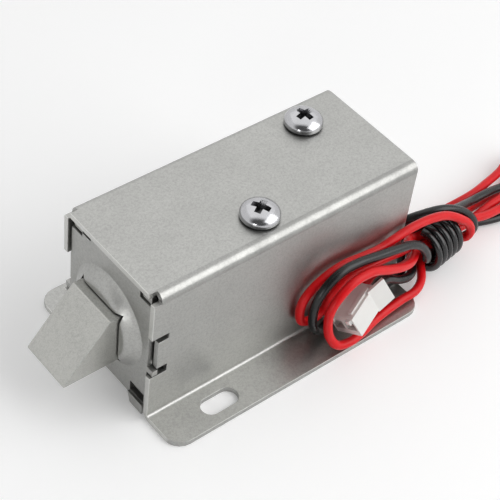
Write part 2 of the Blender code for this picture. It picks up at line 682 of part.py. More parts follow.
def build_pole_plate(shop):
    """The steel plate across the mouth of the yoke, with a tab in each leg."""
    half = YOKE_WIDTH / 2 - POLE_SIDE_GAP
    low, high = YOKE_INSIDE_FLOOR + SEAT_GAP, YOKE_INSIDE_TOP - SEAT_GAP
    tab = POLE_TAB_WIDTH / 2
    outline = [(-tab, YOKE_FLOOR), (tab, YOKE_FLOOR), (tab, low), (half, low), (half, high),
               (tab, high), (tab, YOKE_TOP), (-tab, YOKE_TOP), (-tab, high), (-half, high),
               (-half, low), (-tab, low)]
    bore = arc((0, AXIS_HEIGHT), TUBE_OUTER + SEAT_GAP, 360, 360 / ROUND_STEPS, ROUND_STEPS - 1)
    plate = shop.keep("pole_plate", sheet([outline, bore], "YZ", POLE_FRONT, POLE_BACK))
    return shop.finish(plate, ZINC)


def lug_section():
    """The lug's limits across and up."""
    return ((-LUG_SIDE - LUG_WIDTH / 2, -LUG_SIDE + LUG_WIDTH / 2),
            (LUG_RISE - LUG_HEIGHT / 2, LUG_RISE + LUG_HEIGHT / 2))


def lug_end():
    """The rear face of the lug."""
    return BOBBIN_BACK + LUG_LENGTH


def lead_holes():
    """Where the red and the black lead leave the lug."""
    return [(-LUG_SIDE - LEAD_SPACING / 2, LUG_RISE), (-LUG_SIDE + LEAD_SPACING / 2, LUG_RISE)]


def build_bobbin(shop):
    """The moulded bobbin: a sleeve, two cheeks and the lead-out lug."""
    half = YOKE_WIDTH / 2 - POLE_SIDE_GAP
    low, high = YOKE_INSIDE_FLOOR + SEAT_GAP, YOKE_INSIDE_TOP - SEAT_GAP
    cheek = rounded_rectangle((-half, low), (half, high), CHEEK_CORNER)
    first = (BOBBIN_FRONT, BOBBIN_FRONT + BOBBIN_CHEEK)
    last = (BOBBIN_BACK - BOBBIN_CHEEK, BOBBIN_BACK)
    bobbin = shop.keep("bobbin", sheet([cheek], "YZ", *first))
    shop.join(bobbin, "rear_cheek", sheet([cheek], "YZ", *last))
    inside = BOBBIN_CHEEK / 2
    shop.join(bobbin, "sleeve", rod((BOBBIN_FRONT + inside, 0, AXIS_HEIGHT),
                                    (BOBBIN_BACK - inside, 0, AXIS_HEIGHT), BOBBIN_OUTER))
    (low_y, high_y), (low_z, high_z) = lug_section()
    shop.join(bobbin, "lead_lug", box((BOBBIN_BACK - inside, low_y, low_z), (lug_end(), high_y, high_z)))
    shop.cut(bobbin, "bore", rod((BOBBIN_FRONT - REACH, 0, AXIS_HEIGHT),
                                 (BOBBIN_BACK + REACH, 0, AXIS_HEIGHT), BOBBIN_BORE))
    for y, z in lead_holes():
        hole = rod((lug_end() - LEAD_HOLE_DEPTH, y, z), (lug_end() + REACH, y, z), WIRE_BORE,
                   steps=SMALL_STEPS)
        shop.cut(bobbin, "lead_hole", hole)
    return shop.finish(bobbin, WHITE_NYLON)


def ring(start, end, outer, inner, steps=ROUND_STEPS):
    """A plain sleeve on the bolt's axis."""
    return turned([(end, outer), (start, outer), (start, inner), (end, inner)], steps, closed=True)


def build_coil(shop):
    """The copper winding, the tape round it and the brass guide tube."""
    start = BOBBIN_FRONT + BOBBIN_CHEEK + SEAT_GAP
    end = BOBBIN_BACK - BOBBIN_CHEEK - SEAT_GAP
    winding = shop.keep("coil_winding", ring(start, end, WINDING_OUTER, WINDING_INNER))
    shop.finish(winding, ENAMELLED_COPPER)
    tape_inner = WINDING_OUTER + SEAT_GAP
    tape = shop.keep("coil_tape", ring(start, end, tape_inner + TAPE_THICKNESS, tape_inner))
    shop.finish(tape, YELLOW_TAPE)
    tube = shop.keep("guide_tube", ring(POLE_FRONT - TUBE_PROUD, BOBBIN_BACK - SEAT_GAP,
                                        TUBE_OUTER, TUBE_BORE))
    shop.finish(tube, BRASS)


def build_core(shop):
    """The fixed core: a coned stop riveted into the yoke's rear leg."""
    neck = YOKE_INSIDE_REAR - SEAT_GAP
    head = YOKE_REAR + SEAT_GAP
    radius = PLUNGER_RADIUS
    profile = [(head + RIVET_HEAD_LENGTH, 0),
               (head + RIVET_HEAD_LENGTH, RIVET_HEAD_RADIUS * RIVET_HEAD_FLAT),
               (head + RIVET_HEAD_LENGTH / 2, RIVET_HEAD_RADIUS), (head, RIVET_HEAD_RADIUS),
               (head, RIVET_RADIUS), (neck, RIVET_RADIUS), (neck, radius), (CORE_FRONT, radius),
               (CORE_FRONT + CONE_LENGTH, CONE_TIP_RADIUS), (CORE_FRONT + CONE_LENGTH, 0)]
    core = shop.keep("fixed_core", turned(profile))
    return shop.finish(core, ZINC)


def moving_empty(shop):
    """The empty on the bolt's axis that carries everything that slides."""
    slide = bpy.data.objects.new("bolt_slide", None)
    slide.location = (0, 0, AXIS_HEIGHT)
    shop.parts.objects.link(slide)
    return slide


def carry(thing, parent):
    """Parent a piece to the slide without moving it."""
    thing.data.transform(Matrix.Translation(-parent.location))
    thing.parent = parent


def build_plunger(shop, slide):
    """The round plunger: a flat tongue in front and a coned rear end."""
    shoulder = PLUNGER_SHOULDER
    profile = [(shoulder + CONE_LENGTH, 0), (shoulder + CONE_LENGTH, CONE_TIP_RADIUS),
               (shoulder, PLUNGER_RADIUS), (PLUNGER_FRONT, PLUNGER_RADIUS), (PLUNGER_FRONT, 0)]
    plunger = shop.keep("plunger", turned(profile))
    overlap = PLUNGER_RADIUS / 2
    tongue = box((TONGUE_START, -TONGUE_THICK / 2, AXIS_HEIGHT - TONGUE_HALF),
                 (PLUNGER_FRONT + overlap, TONGUE_THICK / 2, AXIS_HEIGHT + TONGUE_HALF))
    shop.join(plunger, "tongue", tongue)
    shop.cut(plunger, "tongue_hole", pin_rod(PIN_RADIUS + SEAT_GAP, TONGUE_THICK))
    shop.finish(plunger, BRIGHT_ZINC)
    carry(plunger, slide)


def pin_rod(radius, half_length):
    """A bar across the clevis at the pin's place."""
    return rod((PIN_PLACE, -half_length, AXIS_HEIGHT), (PIN_PLACE, half_length, AXIS_HEIGHT),
               radius, steps=PIN_STEPS)


def build_bolt(shop, slide):
    """The slanted latch bolt with its stop collar and clevis."""
    low, high = AXIS_HEIGHT - BOLT_SIZE / 2, AXIS_HEIGHT + BOLT_SIZE / 2
    half = BOLT_SIZE / 2
    side_view = [(-BOLT_REACH, low), (COLLAR_FRONT + COLLAR_LENGTH / 2, low),
                 (COLLAR_FRONT + COLLAR_LENGTH / 2, high), (-BOLT_FLAT, high),
                 (-BOLT_REACH, low + BOLT_TIP)]
    bolt = shop.keep("latch_bolt", sheet([side_view], "XZ", -half, half))
    edge = bolt.modifiers.new("edges", "BEVEL")
    edge.width = BOLT_EDGE
    edge.segments = 2
    edge.limit_method = "ANGLE"
    edge.angle_limit = math.radians(EDGE_ANGLE)
    apply_modifiers(bolt)
    collar = rod((COLLAR_FRONT, 0, AXIS_HEIGHT), (COLLAR_BACK, 0, AXIS_HEIGHT), COLLAR_RADIUS,
                 steps=COLLAR_STEPS)
    shop.join(bolt, "collar", collar)
    clevis = rod((COLLAR_BACK - COLLAR_LENGTH / 2, 0, AXIS_HEIGHT), (CLEVIS_BACK, 0, AXIS_HEIGHT),
                 CLEVIS_RADIUS)
    shop.join(bolt, "clevis", clevis)
    shop.cut(bolt, "clevis_slot",
             box((COLLAR_BACK + CLEVIS_ROOT, -CLEVIS_SLOT / 2, AXIS_HEIGHT - CLEVIS_RADIUS - REACH),
                 (CLEVIS_BACK + REACH, CLEVIS_SLOT / 2, AXIS_HEIGHT + CLEVIS_RADIUS + REACH)))
    shop.cut(bolt, "pin_hole", pin_rod(PIN_RADIUS + SEAT_GAP, CLEVIS_RADIUS + REACH))
    shop.finish(bolt, SINTERED_STEEL)
    carry(bolt, slide)


def build_pin(shop, slide):
    """The cross pin through clevis and tongue."""
    pin = shop.keep("cross_pin", pin_rod(PIN_RADIUS, CLEVIS_RADIUS - SEAT_GAP))
    shop.finish(pin, BRIGHT_ZINC)
    carry(pin, slide)


def spring_points():
    """The middle line of the return spring, with closed end turns."""
    first = COLLAR_BACK + SEAT_GAP + SPRING_WIRE / 2
    last = POLE_FRONT - SEAT_GAP - SPRING_WIRE / 2
    count = int(SPRING_TURNS * SPRING_STEPS)
    open_turns = SPRING_TURNS - 2
    pitch = (last - first - 2 * CLOSED_PITCH) / open_turns
    points = []
    for i in range(count + 1):
        turns = i / SPRING_STEPS
        start_part = min(turns, 1) * CLOSED_PITCH
        end_part = max(turns - (SPRING_TURNS - 1), 0) * CLOSED_PITCH
        middle_part = min(max(turns - 1, 0), open_turns) * pitch
        angle = 2 * math.pi * turns
        points.append((first + start_part + middle_part + end_part,
                       SPRING_RADIUS * math.cos(angle),
                       AXIS_HEIGHT + SPRING_RADIUS * math.sin(angle)))
    return points


def build_spring(shop):
    """The return spring between the bolt's collar and the pole plate."""
    spring = shop.keep("return_spring", tube_along(spring_points(), SPRING_WIRE / 2))
    return shop.finish(spring, SPRING_STEEL)


def screw_mesh(shop):
    """A pan-head screw standing on its own origin, head up, with a cross recess."""
    rim, crown = SCREW_HEAD_RIM, SCREW_HEAD_HEIGHT
    angles = [math.pi / 2 * i / SCREW_DOME_STEPS for i in range(SCREW_DOME_STEPS)]
    dome = [(rim + (crown - rim) * math.sin(a), SCREW_HEAD_RADIUS * math.cos(a)) for a in angles]
    profile = ([(crown, 0)] + dome[::-1]
               + [(0, SCREW_HEAD_RADIUS), (0, SCREW_RADIUS), (-SCREW_LENGTH, SCREW_RADIUS),
                  (-SCREW_LENGTH, 0)])
    mesh = turned(profile)
    mesh.transform(Matrix.Rotation(-math.pi / 2, 4, "Y") @ Matrix.Translation((0, 0, -AXIS_HEIGHT)))
    screw = shop.cutter("screw_blank", mesh)
    arms = {"cross_a": (CROSS_LENGTH, CROSS_WIDTH), "cross_b": (CROSS_WIDTH, CROSS_LENGTH)}
    for name, size in arms.items():
        low = (-size[0] / 2, -size[1] / 2, crown - CROSS_DEPTH)
        high = (size[0] / 2, size[1] / 2, crown + REACH)
        shop.cut(screw, name, box(low, high))
    return screw.data


def build_screws(shop):
    """The two case screws."""
    mesh = screw_mesh(shop)
    for name, (x, y), turn in zip(("front_screw", "rear_screw"), screw_places(), SCREW_TURNS):
        screw = shop.keep(name, mesh.copy())
        screw.location = (x, y, CASE_HEIGHT + SEAT_GAP)
        screw.rotation_euler = (0, 0, math.radians(turn))
        shop.finish(screw, BRIGHT_ZINC)


def tie_point(along, angle, radius):
    """A place round the middle line of the tie; the angle runs from the far side over the top."""
    heading = math.radians(TIE_HEADING)
    forward = Vector((math.cos(heading), math.sin(heading), 0))
    across = Vector((-math.sin(heading), math.cos(heading), 0))
    turn = math.radians(angle)
    middle = CASE_CORNER + Vector(TIE_FROM_CORNER)
    return middle + forward * along + (across * math.cos(turn) + Vector((0, 0, math.sin(turn)))) * radius


def lane(angle, to_rear, radius=LANE_RADIUS):
    """Three points of one pass through the tie, at this angle in the tie's middle."""
    points = [tie_point(LANE_REACH * share, angle + LANE_TWIST / 2 * share, radius)
              for share in (-1, 0, 1)]
    return points if to_rear else points[::-1]


def plug_matrix():
    """Where the plug lies: its own X runs to the wires' end."""
    turn = Euler([math.radians(angle) for angle in PLUG_TURN]).to_matrix().to_4x4()
    return Matrix.Translation(CASE_CORNER + Vector(PLUG_FROM_CORNER)) @ turn


def into_plug(side):
    """The last two points of a wire: just behind the plug and inside its bore."""
    end = PLUG_LENGTH / 2
    places = [(end + WIRE_DIAMETER, side, 0), (end - BORE_DEPTH + SEAT_GAP, side, 0)]
    return [plug_matrix() @ Vector(place) for place in places]


def from_lug(hole):
    """The first two points of a wire: inside its hole in the lug and just behind the lug."""
    y, z = hole
    start = lug_end() - LEAD_HOLE_DEPTH + LEAD_START
    return [Vector((start, y, z)), Vector((lug_end() + WIRE_DIAMETER / 2, y, z))]


def beside_case(*points):
    """Hand-chosen points of a route, in millimetres from the foot of the near wall's rear end."""
    return [CASE_CORNER + Vector(point) * MM for point in points]


def red_route():
    """The red lead: to the far fold and back, two loops beside the case, a second fold and the plug."""
    return (
        from_lug(lead_holes()[0])
        + beside_case((3.0, 5.1, 5.4), (5.0, 6.8, 3.4), (7.9, 7.7, 1.9), (11.9, 7.8, 1.4),
                      (15.4, 7.1, 1.9), (20.4, 6.3, 2.8), (25.4, 6.0, 3.4), (30.4, 6.9, 3.1),
                      (34.9, 7.9, 2.9), (38.2, 9.2, 2.9), (41.6, 9.8, 2.9), (45.1, 8.0, 2.9),
                      (46.6, 3.7, 2.9), (45.1, -0.6, 2.9), (41.6, -2.4, 2.9), (37.9, -1.7, 2.9),
                      (34.4, -0.5, 2.9), (30.4, 0.4, 2.9), (26.4, 0.3, 3.5), (22.4, 0.0, 4.4),
                      (18.4, 0.2, 5.6), (16.0, 0.4, 6.7))
        + lane(90, False)
        + beside_case((3.6, 1.3, 7.9), (2.2, 0.1, 8.7), (1.0, -1.0, 9.2), (-1.0, -1.35, 9.7),
                      (-4.6, -1.25, 10.0), (-8.6, -1.25, 10.3), (-12.2, -1.25, 10.5),
                      (-15.0, -1.25, 9.6), (-17.0, -1.25, 7.6), (-18.3, -1.3, 5.3), (-20.6, -1.3, 4.5),
                      (-22.8, -1.25, 5.4), (-23.7, -1.25, 7.8), (-23.3, -1.25, 10.7),
                      (-21.1, -1.25, 12.9), (-18.0, -1.25, 14.2), (-14.8, -1.25, 14.5),
                      (-10.8, -1.25, 13.9), (-6.7, -1.25, 13.5), (-3.2, -1.25, 14.1),
                      (1.1, -1.25, 14.5), (5.4, -1.2, 13.9), (9.4, -1.3, 12.5), (12.3, -2.0, 10.7),
                      (14.5, -2.5, 8.6), (15.2, -2.8, 6.7), (14.9, -2.5, 5.3), (14.1, -1.7, 4.8))
        + lane(150, False)
        + beside_case((3.8, -0.9, 7.3), (2.6, -1.6, 7.6), (1.4, -2.4, 7.9), (-0.2, -3.3, 8.3),
                      (-3.2, -4.3, 9.7), (-7.5, -4.9, 12.0), (-12.2, -5.1, 14.4), (-16.4, -5.3, 14.7),
                      (-19.6, -5.5, 13.0), (-21.2, -5.6, 10.6), (-21.4, -5.8, 7.8), (-21.0, -6.3, 5.0),
                      (-19.7, -7.1, 2.9), (-17.2, -7.4, 2.2), (-14.0, -7.0, 2.1), (-9.6, -6.0, 2.1),
                      (-3.3, -5.4, 2.3), (0.2, -5.3, 2.4), (3.0, -3.9, 2.4))
        + lane(270, True)
        + beside_case((15.4, 2.0, 2.8), (18.4, 1.4, 2.7), (22.4, 1.8, 2.9), (26.4, 2.4, 2.9),
                      (30.4, 2.5, 2.9), (34.4, 1.8, 2.9), (37.9, 0.5, 2.9), (41.3, 0.0, 2.9),
                      (43.6, 1.2, 2.9), (44.4, 3.7, 2.9), (43.6, 6.3, 2.9), (41.4, 7.6, 2.9),
                      (38.4, 7.1, 2.7), (34.4, 5.8, 1.4), (30.4, 5.4, 0.95), (26.4, 5.0, 1.2),
                      (22.4, 4.3, 2.1), (18.4, 3.4, 3.9), (15.6, 2.2, 5.0))
        + lane(0, False, radius=0)
        + beside_case((3.6, -0.3, 5.1), (2.0, -1.2, 5.4), (-0.2, -1.7, 5.8), (-3.2, -1.6, 6.7),
                      (-5.6, -1.3, 7.5), (-7.8, -1.45, 7.6))
        + into_plug(plug_sides()["red"]))


def black_route():
    """The black lead: over the tie, one loop beside the case, the low fold and the plug."""
    return (
        from_lug(lead_holes()[1])
        + beside_case((1.7, 5.6, 8.5), (3.4, 4.4, 9.3), (6.4, 2.4, 11.2), (10.4, 0.7, 11.9),
                      (14.2, -0.3, 10.3), (16.6, -1.4, 7.9), (17.2, -1.8, 5.5), (16.2, -1.1, 3.5),
                      (14.6, -0.1, 2.7))
        + lane(210, False)
        + beside_case((4.4, -2.9, 6.0), (3.6, -3.4, 7.7), (2.6, -3.4, 9.6), (1.2, -3.25, 11.3),
                      (-1.4, -3.15, 12.9), (-4.8, -3.2, 13.9), (-9.2, -3.25, 14.9),
                      (-13.7, -3.25, 15.9), (-17.3, -3.25, 16.0), (-20.2, -3.25, 14.6),
                      (-22.2, -3.25, 11.8), (-22.7, -3.3, 8.6), (-22.0, -3.4, 5.2), (-19.9, -2.9, 2.8),
                      (-17.0, -1.9, 2.2), (-13.2, -1.5, 2.2), (-7.2, -1.25, 2.4), (-3.6, -1.25, 2.7),
                      (-0.2, -1.3, 2.9), (1.4, -0.45, 2.7), (2.8, 1.4, 3.4), (3.8, 2.2, 4.3))
        + lane(30, True)
        + beside_case((15.4, 2.3, 7.6), (18.4, 2.9, 6.5), (22.4, 3.8, 4.9), (26.4, 4.2, 4.2),
                      (30.4, 4.6, 3.2), (33.9, 4.3, 2.6), (36.9, 4.4, 1.5), (39.4, 5.9, 0.97),
                      (42.4, 7.3, 0.95), (45.4, 6.3, 0.95), (46.7, 3.1, 0.95), (45.1, -0.5, 0.95),
                      (41.6, -2.2, 0.95), (37.4, -2.0, 0.95), (33.9, -1.1, 0.95), (30.4, -0.2, 0.95),
                      (26.4, 0.5, 0.95), (22.4, 1.9, 0.97), (19.2, 3.5, 1.1), (17.0, 4.6, 2.4),
                      (14.9, 4.3, 4.3))
        + lane(330, False)
        + beside_case((3.7, -0.4, 3.15), (2.2, -2.1, 3.7), (-0.2, -3.3, 4.4), (-3.0, -3.4, 5.5),
                      (-5.4, -3.5, 7.2), (-7.4, -3.8, 8.2))
        + into_plug(plug_sides()["black"]))


def smooth_curve(points):
    """A smooth curve through all points, with knots spaced by the root of the distance."""
    points = [2 * points[0] - points[1]] + points + [2 * points[-1] - points[-2]]
    curve = []
    for four in zip(points, points[1:], points[2:], points[3:]):
        knots = [0.0]
        for first, second in zip(four, four[1:]):
            knots.append(knots[-1] + math.sqrt((second - first).length))
        for i in range(CURVE_STEPS):
            curve.append(curve_point(four, knots, knots[1] + (knots[2] - knots[1]) * i / CURVE_STEPS))
    return curve + [points[-2]]


def curve_point(four, knots, place):
    """The point at one place between the second and the third of four points."""
    def blend(first, second, low, high):
        return first.lerp(second, (place - knots[low]) / (knots[high] - knots[low]))
    legs = [blend(four[i], four[i + 1], i, i + 1) for i in range(3)]
    sides = [blend(legs[i], legs[i + 1], i, i + 2) for i in range(2)]
    return blend(sides[0], sides[1], 1, 2)


def thinned(curve):
    """Fewer points of a smooth curve: one after each set turn or run, and both ends."""
    kept = [curve[0]]
    run = bend = 0.0
    for before, point, after in zip(curve, curve[1:], curve[2:]):
        run += (point - before).length
        bend += (point - before).angle(after - point)
        if run >= WIRE_RUN or bend >= math.radians(WIRE_BEND):
            kept.append(point)
            run = bend = 0.0
    if (kept[-1] - curve[-1]).length < WIRE_DIAMETER / 2:
        kept.pop()
    return kept + [curve[-1]]


def build_wires(shop):
    """The red and the black lead from the lug to the plug."""
    leads = (("red_wire", red_route(), RED_PVC), ("black_wire", black_route(), BLACK_PVC))
    for name, route, finish in leads:
        wire = shop.keep(name, tube_along(thinned(smooth_curve(route)), WIRE_DIAMETER / 2))
        shop.finish(wire, finish)


def build_tie(shop):
    """The tie: turns of stiff covered wire round the folded leads, with a short tail."""
    count = int(TIE_TURNS * TIE_STEPS)
    points = []
    for i in range(count + 1):
        angle = TIE_FIRST + 360 * i / TIE_STEPS
        points.append(tie_point(TIE_REACH * (2 * i / count - 1), angle, TIE_RADIUS))
    for share in (1 / 3, 2 / 3, 1):
        points.append(tie_point(TIE_REACH + TIE_TAIL * share, angle + TIE_TAIL_TURN * share, TIE_RADIUS))
    shop.finish(shop.keep("wire_tie", tube_along(points, TIE_WIRE / 2)), BLACK_PVC)


def plug_box(low, high):
    """A box in the plug's own directions, put where the plug lies."""
    mesh = box(low, high)
    mesh.transform(plug_matrix())
    return mesh


def plug_rod(start, end, radius, side):
    """A round bar along the plug at one of its two places."""
    mesh = rod((start, side, 0), (end, side, 0), radius, steps=SMALL_STEPS)
    mesh.transform(plug_matrix())
    return mesh


def plug_sides():
    """The places of the black and the red lead across the plug."""
    return {"black": -PLUG_PITCH / 2, "red": PLUG_PITCH / 2}


def build_plug(shop):
    """The two-way plug: a housing with a flared lip, ribs and keys, and two rooms for terminals."""
    end, half, top = PLUG_LENGTH / 2, PLUG_DEPTH / 2, PLUG_THICKNESS / 2
    plug = shop.keep("plug_housing", plug_box((-end, -half, -top), (end, half, top)))
    lip = box((-LIP_LENGTH, -LIP_SHEET, -top - LIP_MARGIN), (LIP_LENGTH, 0, top + LIP_MARGIN))
    lip.transform(Matrix.Rotation(math.radians(-LIP_FLARE), 4, "Z"))
    lip.transform(plug_matrix() @ Matrix.Translation((end, -half, 0)))
    shop.join(plug, "lip", lip)
    for name, side in (("near", RIB_INSET - half), ("far", half - RIB_INSET)):
        rib = plug_box((RIB_INSET - end, side - RIB_WIDTH / 2, top - RIB_HEIGHT),
                       (end - RIB_INSET, side + RIB_WIDTH / 2, top + RIB_HEIGHT))
        shop.join(plug, "rib_" + name, rib)
        key = plug_box((-end - KEY_PROUD, side - KEY_SIZE / 2, top - KEY_INSET - KEY_SIZE),
                       (-end + KEY_PROUD, side + KEY_SIZE / 2, top - KEY_INSET))
        shop.join(plug, "key_" + name, key)
    room = PLUG_ROOM / 2
    for name, side in plug_sides().items():
        shop.cut(plug, "wire_bore_" + name, plug_rod(end - BORE_DEPTH, end + REACH, WIRE_BORE, side))
        shop.cut(plug, "room_" + name, plug_box((-end - REACH, side - room, -room),
                                                (end - BORE_DEPTH + SEAT_GAP, side + room, room)))
    shop.finish(plug, WHITE_NYLON)
    build_terminals(shop)


def build_terminals(shop):
    """A tinned socket terminal in each of the plug's rooms."""
    end = PLUG_LENGTH / 2
    half = PLUG_ROOM / 2 - SEAT_GAP
    start = TERMINAL_RECESS - end
    for name, side in plug_sides().items():
        body = plug_box((start, side - half, -half), (end - BORE_DEPTH, side + half, half))
        terminal = shop.keep(name + "_terminal", body)
        shop.cut(terminal, name + "_pin_hole",
                 plug_rod(start - REACH, start + PIN_HOLE_DEPTH, PIN_HOLE_RADIUS, side))
        shop.finish(terminal, TINNED)


def centre_on_footprint(shop):
    """Move every piece so that the origin is under the middle of case and bolt."""
    for thing in shop.parts.objects:
        if thing.parent is None:
            thing.location.x -= FOOTPRINT_MIDDLE


def main():
    """Build the whole lock."""
    clear_scene()
    shop = Workshop()
    build_case(shop)
    build_front_plate(shop)
    build_yoke(shop)
    build_pole_plate(shop)
    build_bobbin(shop)
    build_coil(shop)
    build_core(shop)
    slide = moving_empty(shop)
    build_plunger(shop, slide)
    build_bolt(shop, slide)
    build_pin(shop, slide)
    build_spring(shop)
    build_screws(shop)
    build_wires(shop)
    build_tie(shop)
    build_plug(shop)
    centre_on_footprint(shop)


main()
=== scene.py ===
"""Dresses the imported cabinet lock: plated steel, grainy bolt, coil, leads and plug on a pale floor."""

import json
import math

import bmesh
import bpy
from bpy.props import FloatProperty, FloatVectorProperty, PointerProperty
from bpy.types import Operator, Panel, PropertyGroup
from mathutils import Euler, Matrix, Vector

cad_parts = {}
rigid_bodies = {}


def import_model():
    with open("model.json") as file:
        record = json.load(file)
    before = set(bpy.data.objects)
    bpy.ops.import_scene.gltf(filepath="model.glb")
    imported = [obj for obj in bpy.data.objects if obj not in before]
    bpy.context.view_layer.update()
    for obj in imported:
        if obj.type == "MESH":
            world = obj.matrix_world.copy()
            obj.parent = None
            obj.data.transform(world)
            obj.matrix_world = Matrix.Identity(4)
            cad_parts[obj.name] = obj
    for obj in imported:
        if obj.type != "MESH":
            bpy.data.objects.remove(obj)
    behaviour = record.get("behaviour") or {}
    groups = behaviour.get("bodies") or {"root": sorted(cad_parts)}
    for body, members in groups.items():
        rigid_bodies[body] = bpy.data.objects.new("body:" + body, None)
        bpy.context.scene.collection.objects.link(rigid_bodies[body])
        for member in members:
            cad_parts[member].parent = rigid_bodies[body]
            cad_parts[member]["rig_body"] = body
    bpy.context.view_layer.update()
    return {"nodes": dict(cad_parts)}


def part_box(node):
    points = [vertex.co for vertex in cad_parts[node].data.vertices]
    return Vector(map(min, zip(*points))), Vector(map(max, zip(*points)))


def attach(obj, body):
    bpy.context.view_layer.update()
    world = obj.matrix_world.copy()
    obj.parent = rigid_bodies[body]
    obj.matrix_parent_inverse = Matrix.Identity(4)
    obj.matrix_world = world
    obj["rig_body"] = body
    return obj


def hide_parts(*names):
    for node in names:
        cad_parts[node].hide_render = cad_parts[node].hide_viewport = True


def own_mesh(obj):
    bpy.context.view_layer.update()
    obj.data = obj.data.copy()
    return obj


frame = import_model()

bl_info = {
    "name": "Solenoid Lock Finishes",
    "version": (1, 0, 0),
    "blender": (4, 5, 0),
    "location": "3D View > Sidebar > Lock",
    "description": "Finishes a solenoid cabinet lock and sets it on a pale studio floor",
    "category": "Object",
}

MM = 0.001


# Settings


def colour(name, description, default):
    words = {"name": name, "description": description, "subtype": "COLOR"}
    return FloatVectorProperty(default=default, size=3, min=0, max=1, **words)


def length(name, description, default):
    return FloatProperty(name=name, description=description, default=default, unit="LENGTH", precision=5)


def share(name, description, default):
    words = {"name": name, "description": description, "subtype": "FACTOR"}
    return FloatProperty(default=default, min=0, max=1, **words)


def number(name, description, default, unit="NONE"):
    return FloatProperty(name=name, description=description, default=default, unit=unit)


def direction(name, description, default, subtype="DIRECTION"):
    return FloatVectorProperty(name=name, description=description, default=default, subtype=subtype)


class SteelSettings(PropertyGroup):
    """Colours and textures of the case, the screws and the bolt."""

    zinc: colour("Zinc", "Colour of the plated sheet", (0.49, 0.49, 0.472))
    zinc_dull: colour("Dull zinc", "Colour of the plating where it is clouded", (0.415, 0.415, 0.40))
    zinc_roughness: share("Zinc roughness", "Roughness of the plated sheet", 0.40)
    burnish: share("Burnish", "How much smoother the folding tool leaves the top bends", 0.06)
    grain: length("Grain", "Size of the plating's fine grain", 0.00016)
    cloud: length("Cloud", "Size of the cloudy patches in the plating", 0.006)
    nickel: colour("Nickel", "Colour of the bright screws, plunger and pin", (0.50, 0.50, 0.515))
    bolt: colour("Bolt", "Colour of the bolt", (0.49, 0.49, 0.465))
    bolt_pit: colour("Bolt pits", "Colour between the grains of the bolt", (0.31, 0.31, 0.295))
    bolt_grain: length("Bolt grain", "Size of the grains of the bolt", 0.00020)
    bolt_edge: length("Bolt edges", "Rounding of the bolt's edges", 0.00042)
    cross_length: length("Cross length", "Length of the screws' cross recess", 0.0035)
    cross_width: length("Cross width", "Width of the cross recess at its mouth", 0.00115)
    cross_depth: length("Cross depth", "Depth of the cross recess", 0.0016)
    edge_round: length("Edge rounding", "Rounding of the sheared edges", 0.00012)


class CoilSettings(PropertyGroup):
    """Colours of the coil's pieces and the return spring."""

    copper: colour("Copper", "Colour of the enamelled winding", (0.55, 0.20, 0.065))
    turn_pitch: length("Turn pitch", "Spacing of the winding's turns", 0.00025)
    tape: colour("Tape", "Colour of the tape round the winding", (0.78, 0.60, 0.16))
    brass: colour("Brass", "Colour of the guide tube", (0.72, 0.52, 0.22))
    nylon: colour("Nylon", "Colour of the bobbin and the plug", (0.80, 0.795, 0.77))
    spring_steel: colour("Spring steel", "Colour of the return spring", (0.36, 0.36, 0.37))
    spring_wire: length("Spring wire", "Diameter of the return spring's wire", 0.0007)
    spring_turns: number("Spring turns", "Turns of the return spring, closed ends included", 6.5)


class HarnessSettings(PropertyGroup):
    """Sizes and colours of the leads, their tie and their plug."""

    red: colour("Red", "Colour of the red lead", (0.76, 0.006, 0.010))
    black: colour("Black", "Colour of the black lead and the tie", (0.005, 0.0055, 0.006))
    tin: colour("Tin", "Colour of the plug's contacts", (0.72, 0.71, 0.68))
    wire: length("Wire", "Diameter of each lead", 0.0016)
    tie_wire: length("Tie wire", "Thickness of the tie", 0.0014)
    tie_radius: length("Tie radius", "Middle of the tie's wire to the middle of the bundle", 0.00425)
    tie_turns: number("Tie turns", "Turns of the tie round the bundle", 4.5)
    plug_edge: length("Plug edges", "Rounding of the plug's edges", 0.00020)
    red_length: length("Red lead", "Length of the red lead", 0.361)
    black_length: length("Black lead", "Length of the black lead", 0.221)


class StageSettings(PropertyGroup):
    """Camera, lamps, floor and background."""

    camera_place: direction(
        "Camera place", "Where the camera stands", (-0.11520, -0.12497, 0.19031), "TRANSLATION"
    )
    camera_look: direction("Camera look", "The way the camera looks", (0.49307, 0.49946, -0.71233))
    camera_right: direction(
        "Camera right", "The way the picture's right side points", (0.77316, -0.62697, 0.09557)
    )
    lens: number("Lens", "Focal length, for a sensor 36 mm wide", 108.14, unit="CAMERA")
    floor: colour("Floor", "Colour of the floor", (0.90, 0.90, 0.90))
    floor_lift: number("Floor lift", "Glow that turns the seen floor white", 0.18)
    floor_half: length("Floor reach", "Half the side of the floor", 1.5)
    dim_side: share("Dim side", "How much darker the studio is behind the camera", 0.88)
    ambient: number("Ambient", "Strength of the sky's soft light", 0.55)
    key_power: number("Key power", "Power of the lamp at the near side", 2.6, unit="POWER")
    over_power: number("Over power", "Power of the large lamp overhead", 1.3, unit="POWER")
    left_power: number("Left power", "Power of the small lamp in front", 0.4, unit="POWER")


# Shader expressions


class Value:
    """An output socket that takes part in Python sums."""

    def __init__(self, finish, output):
        self.finish = finish
        self.output = output

    def __add__(self, other):
        return self.finish.math("ADD", self, other)

    __radd__ = __add__

    def __sub__(self, other):
        return self.finish.math("SUBTRACT", self, other)

    def __rsub__(self, other):
        return self.finish.math("SUBTRACT", other, self)

    def __mul__(self, other):
        return self.finish.math("MULTIPLY", self, other)

    __rmul__ = __mul__

    def __truediv__(self, other):
        return self.finish.math("DIVIDE", self, other)

    def __pow__(self, other):
        return self.finish.math("POWER", self, other)

    def __gt__(self, other):
        return self.finish.math("GREATER_THAN", self, other)

    def __lt__(self, other):
        return self.finish.math("LESS_THAN", self, other)


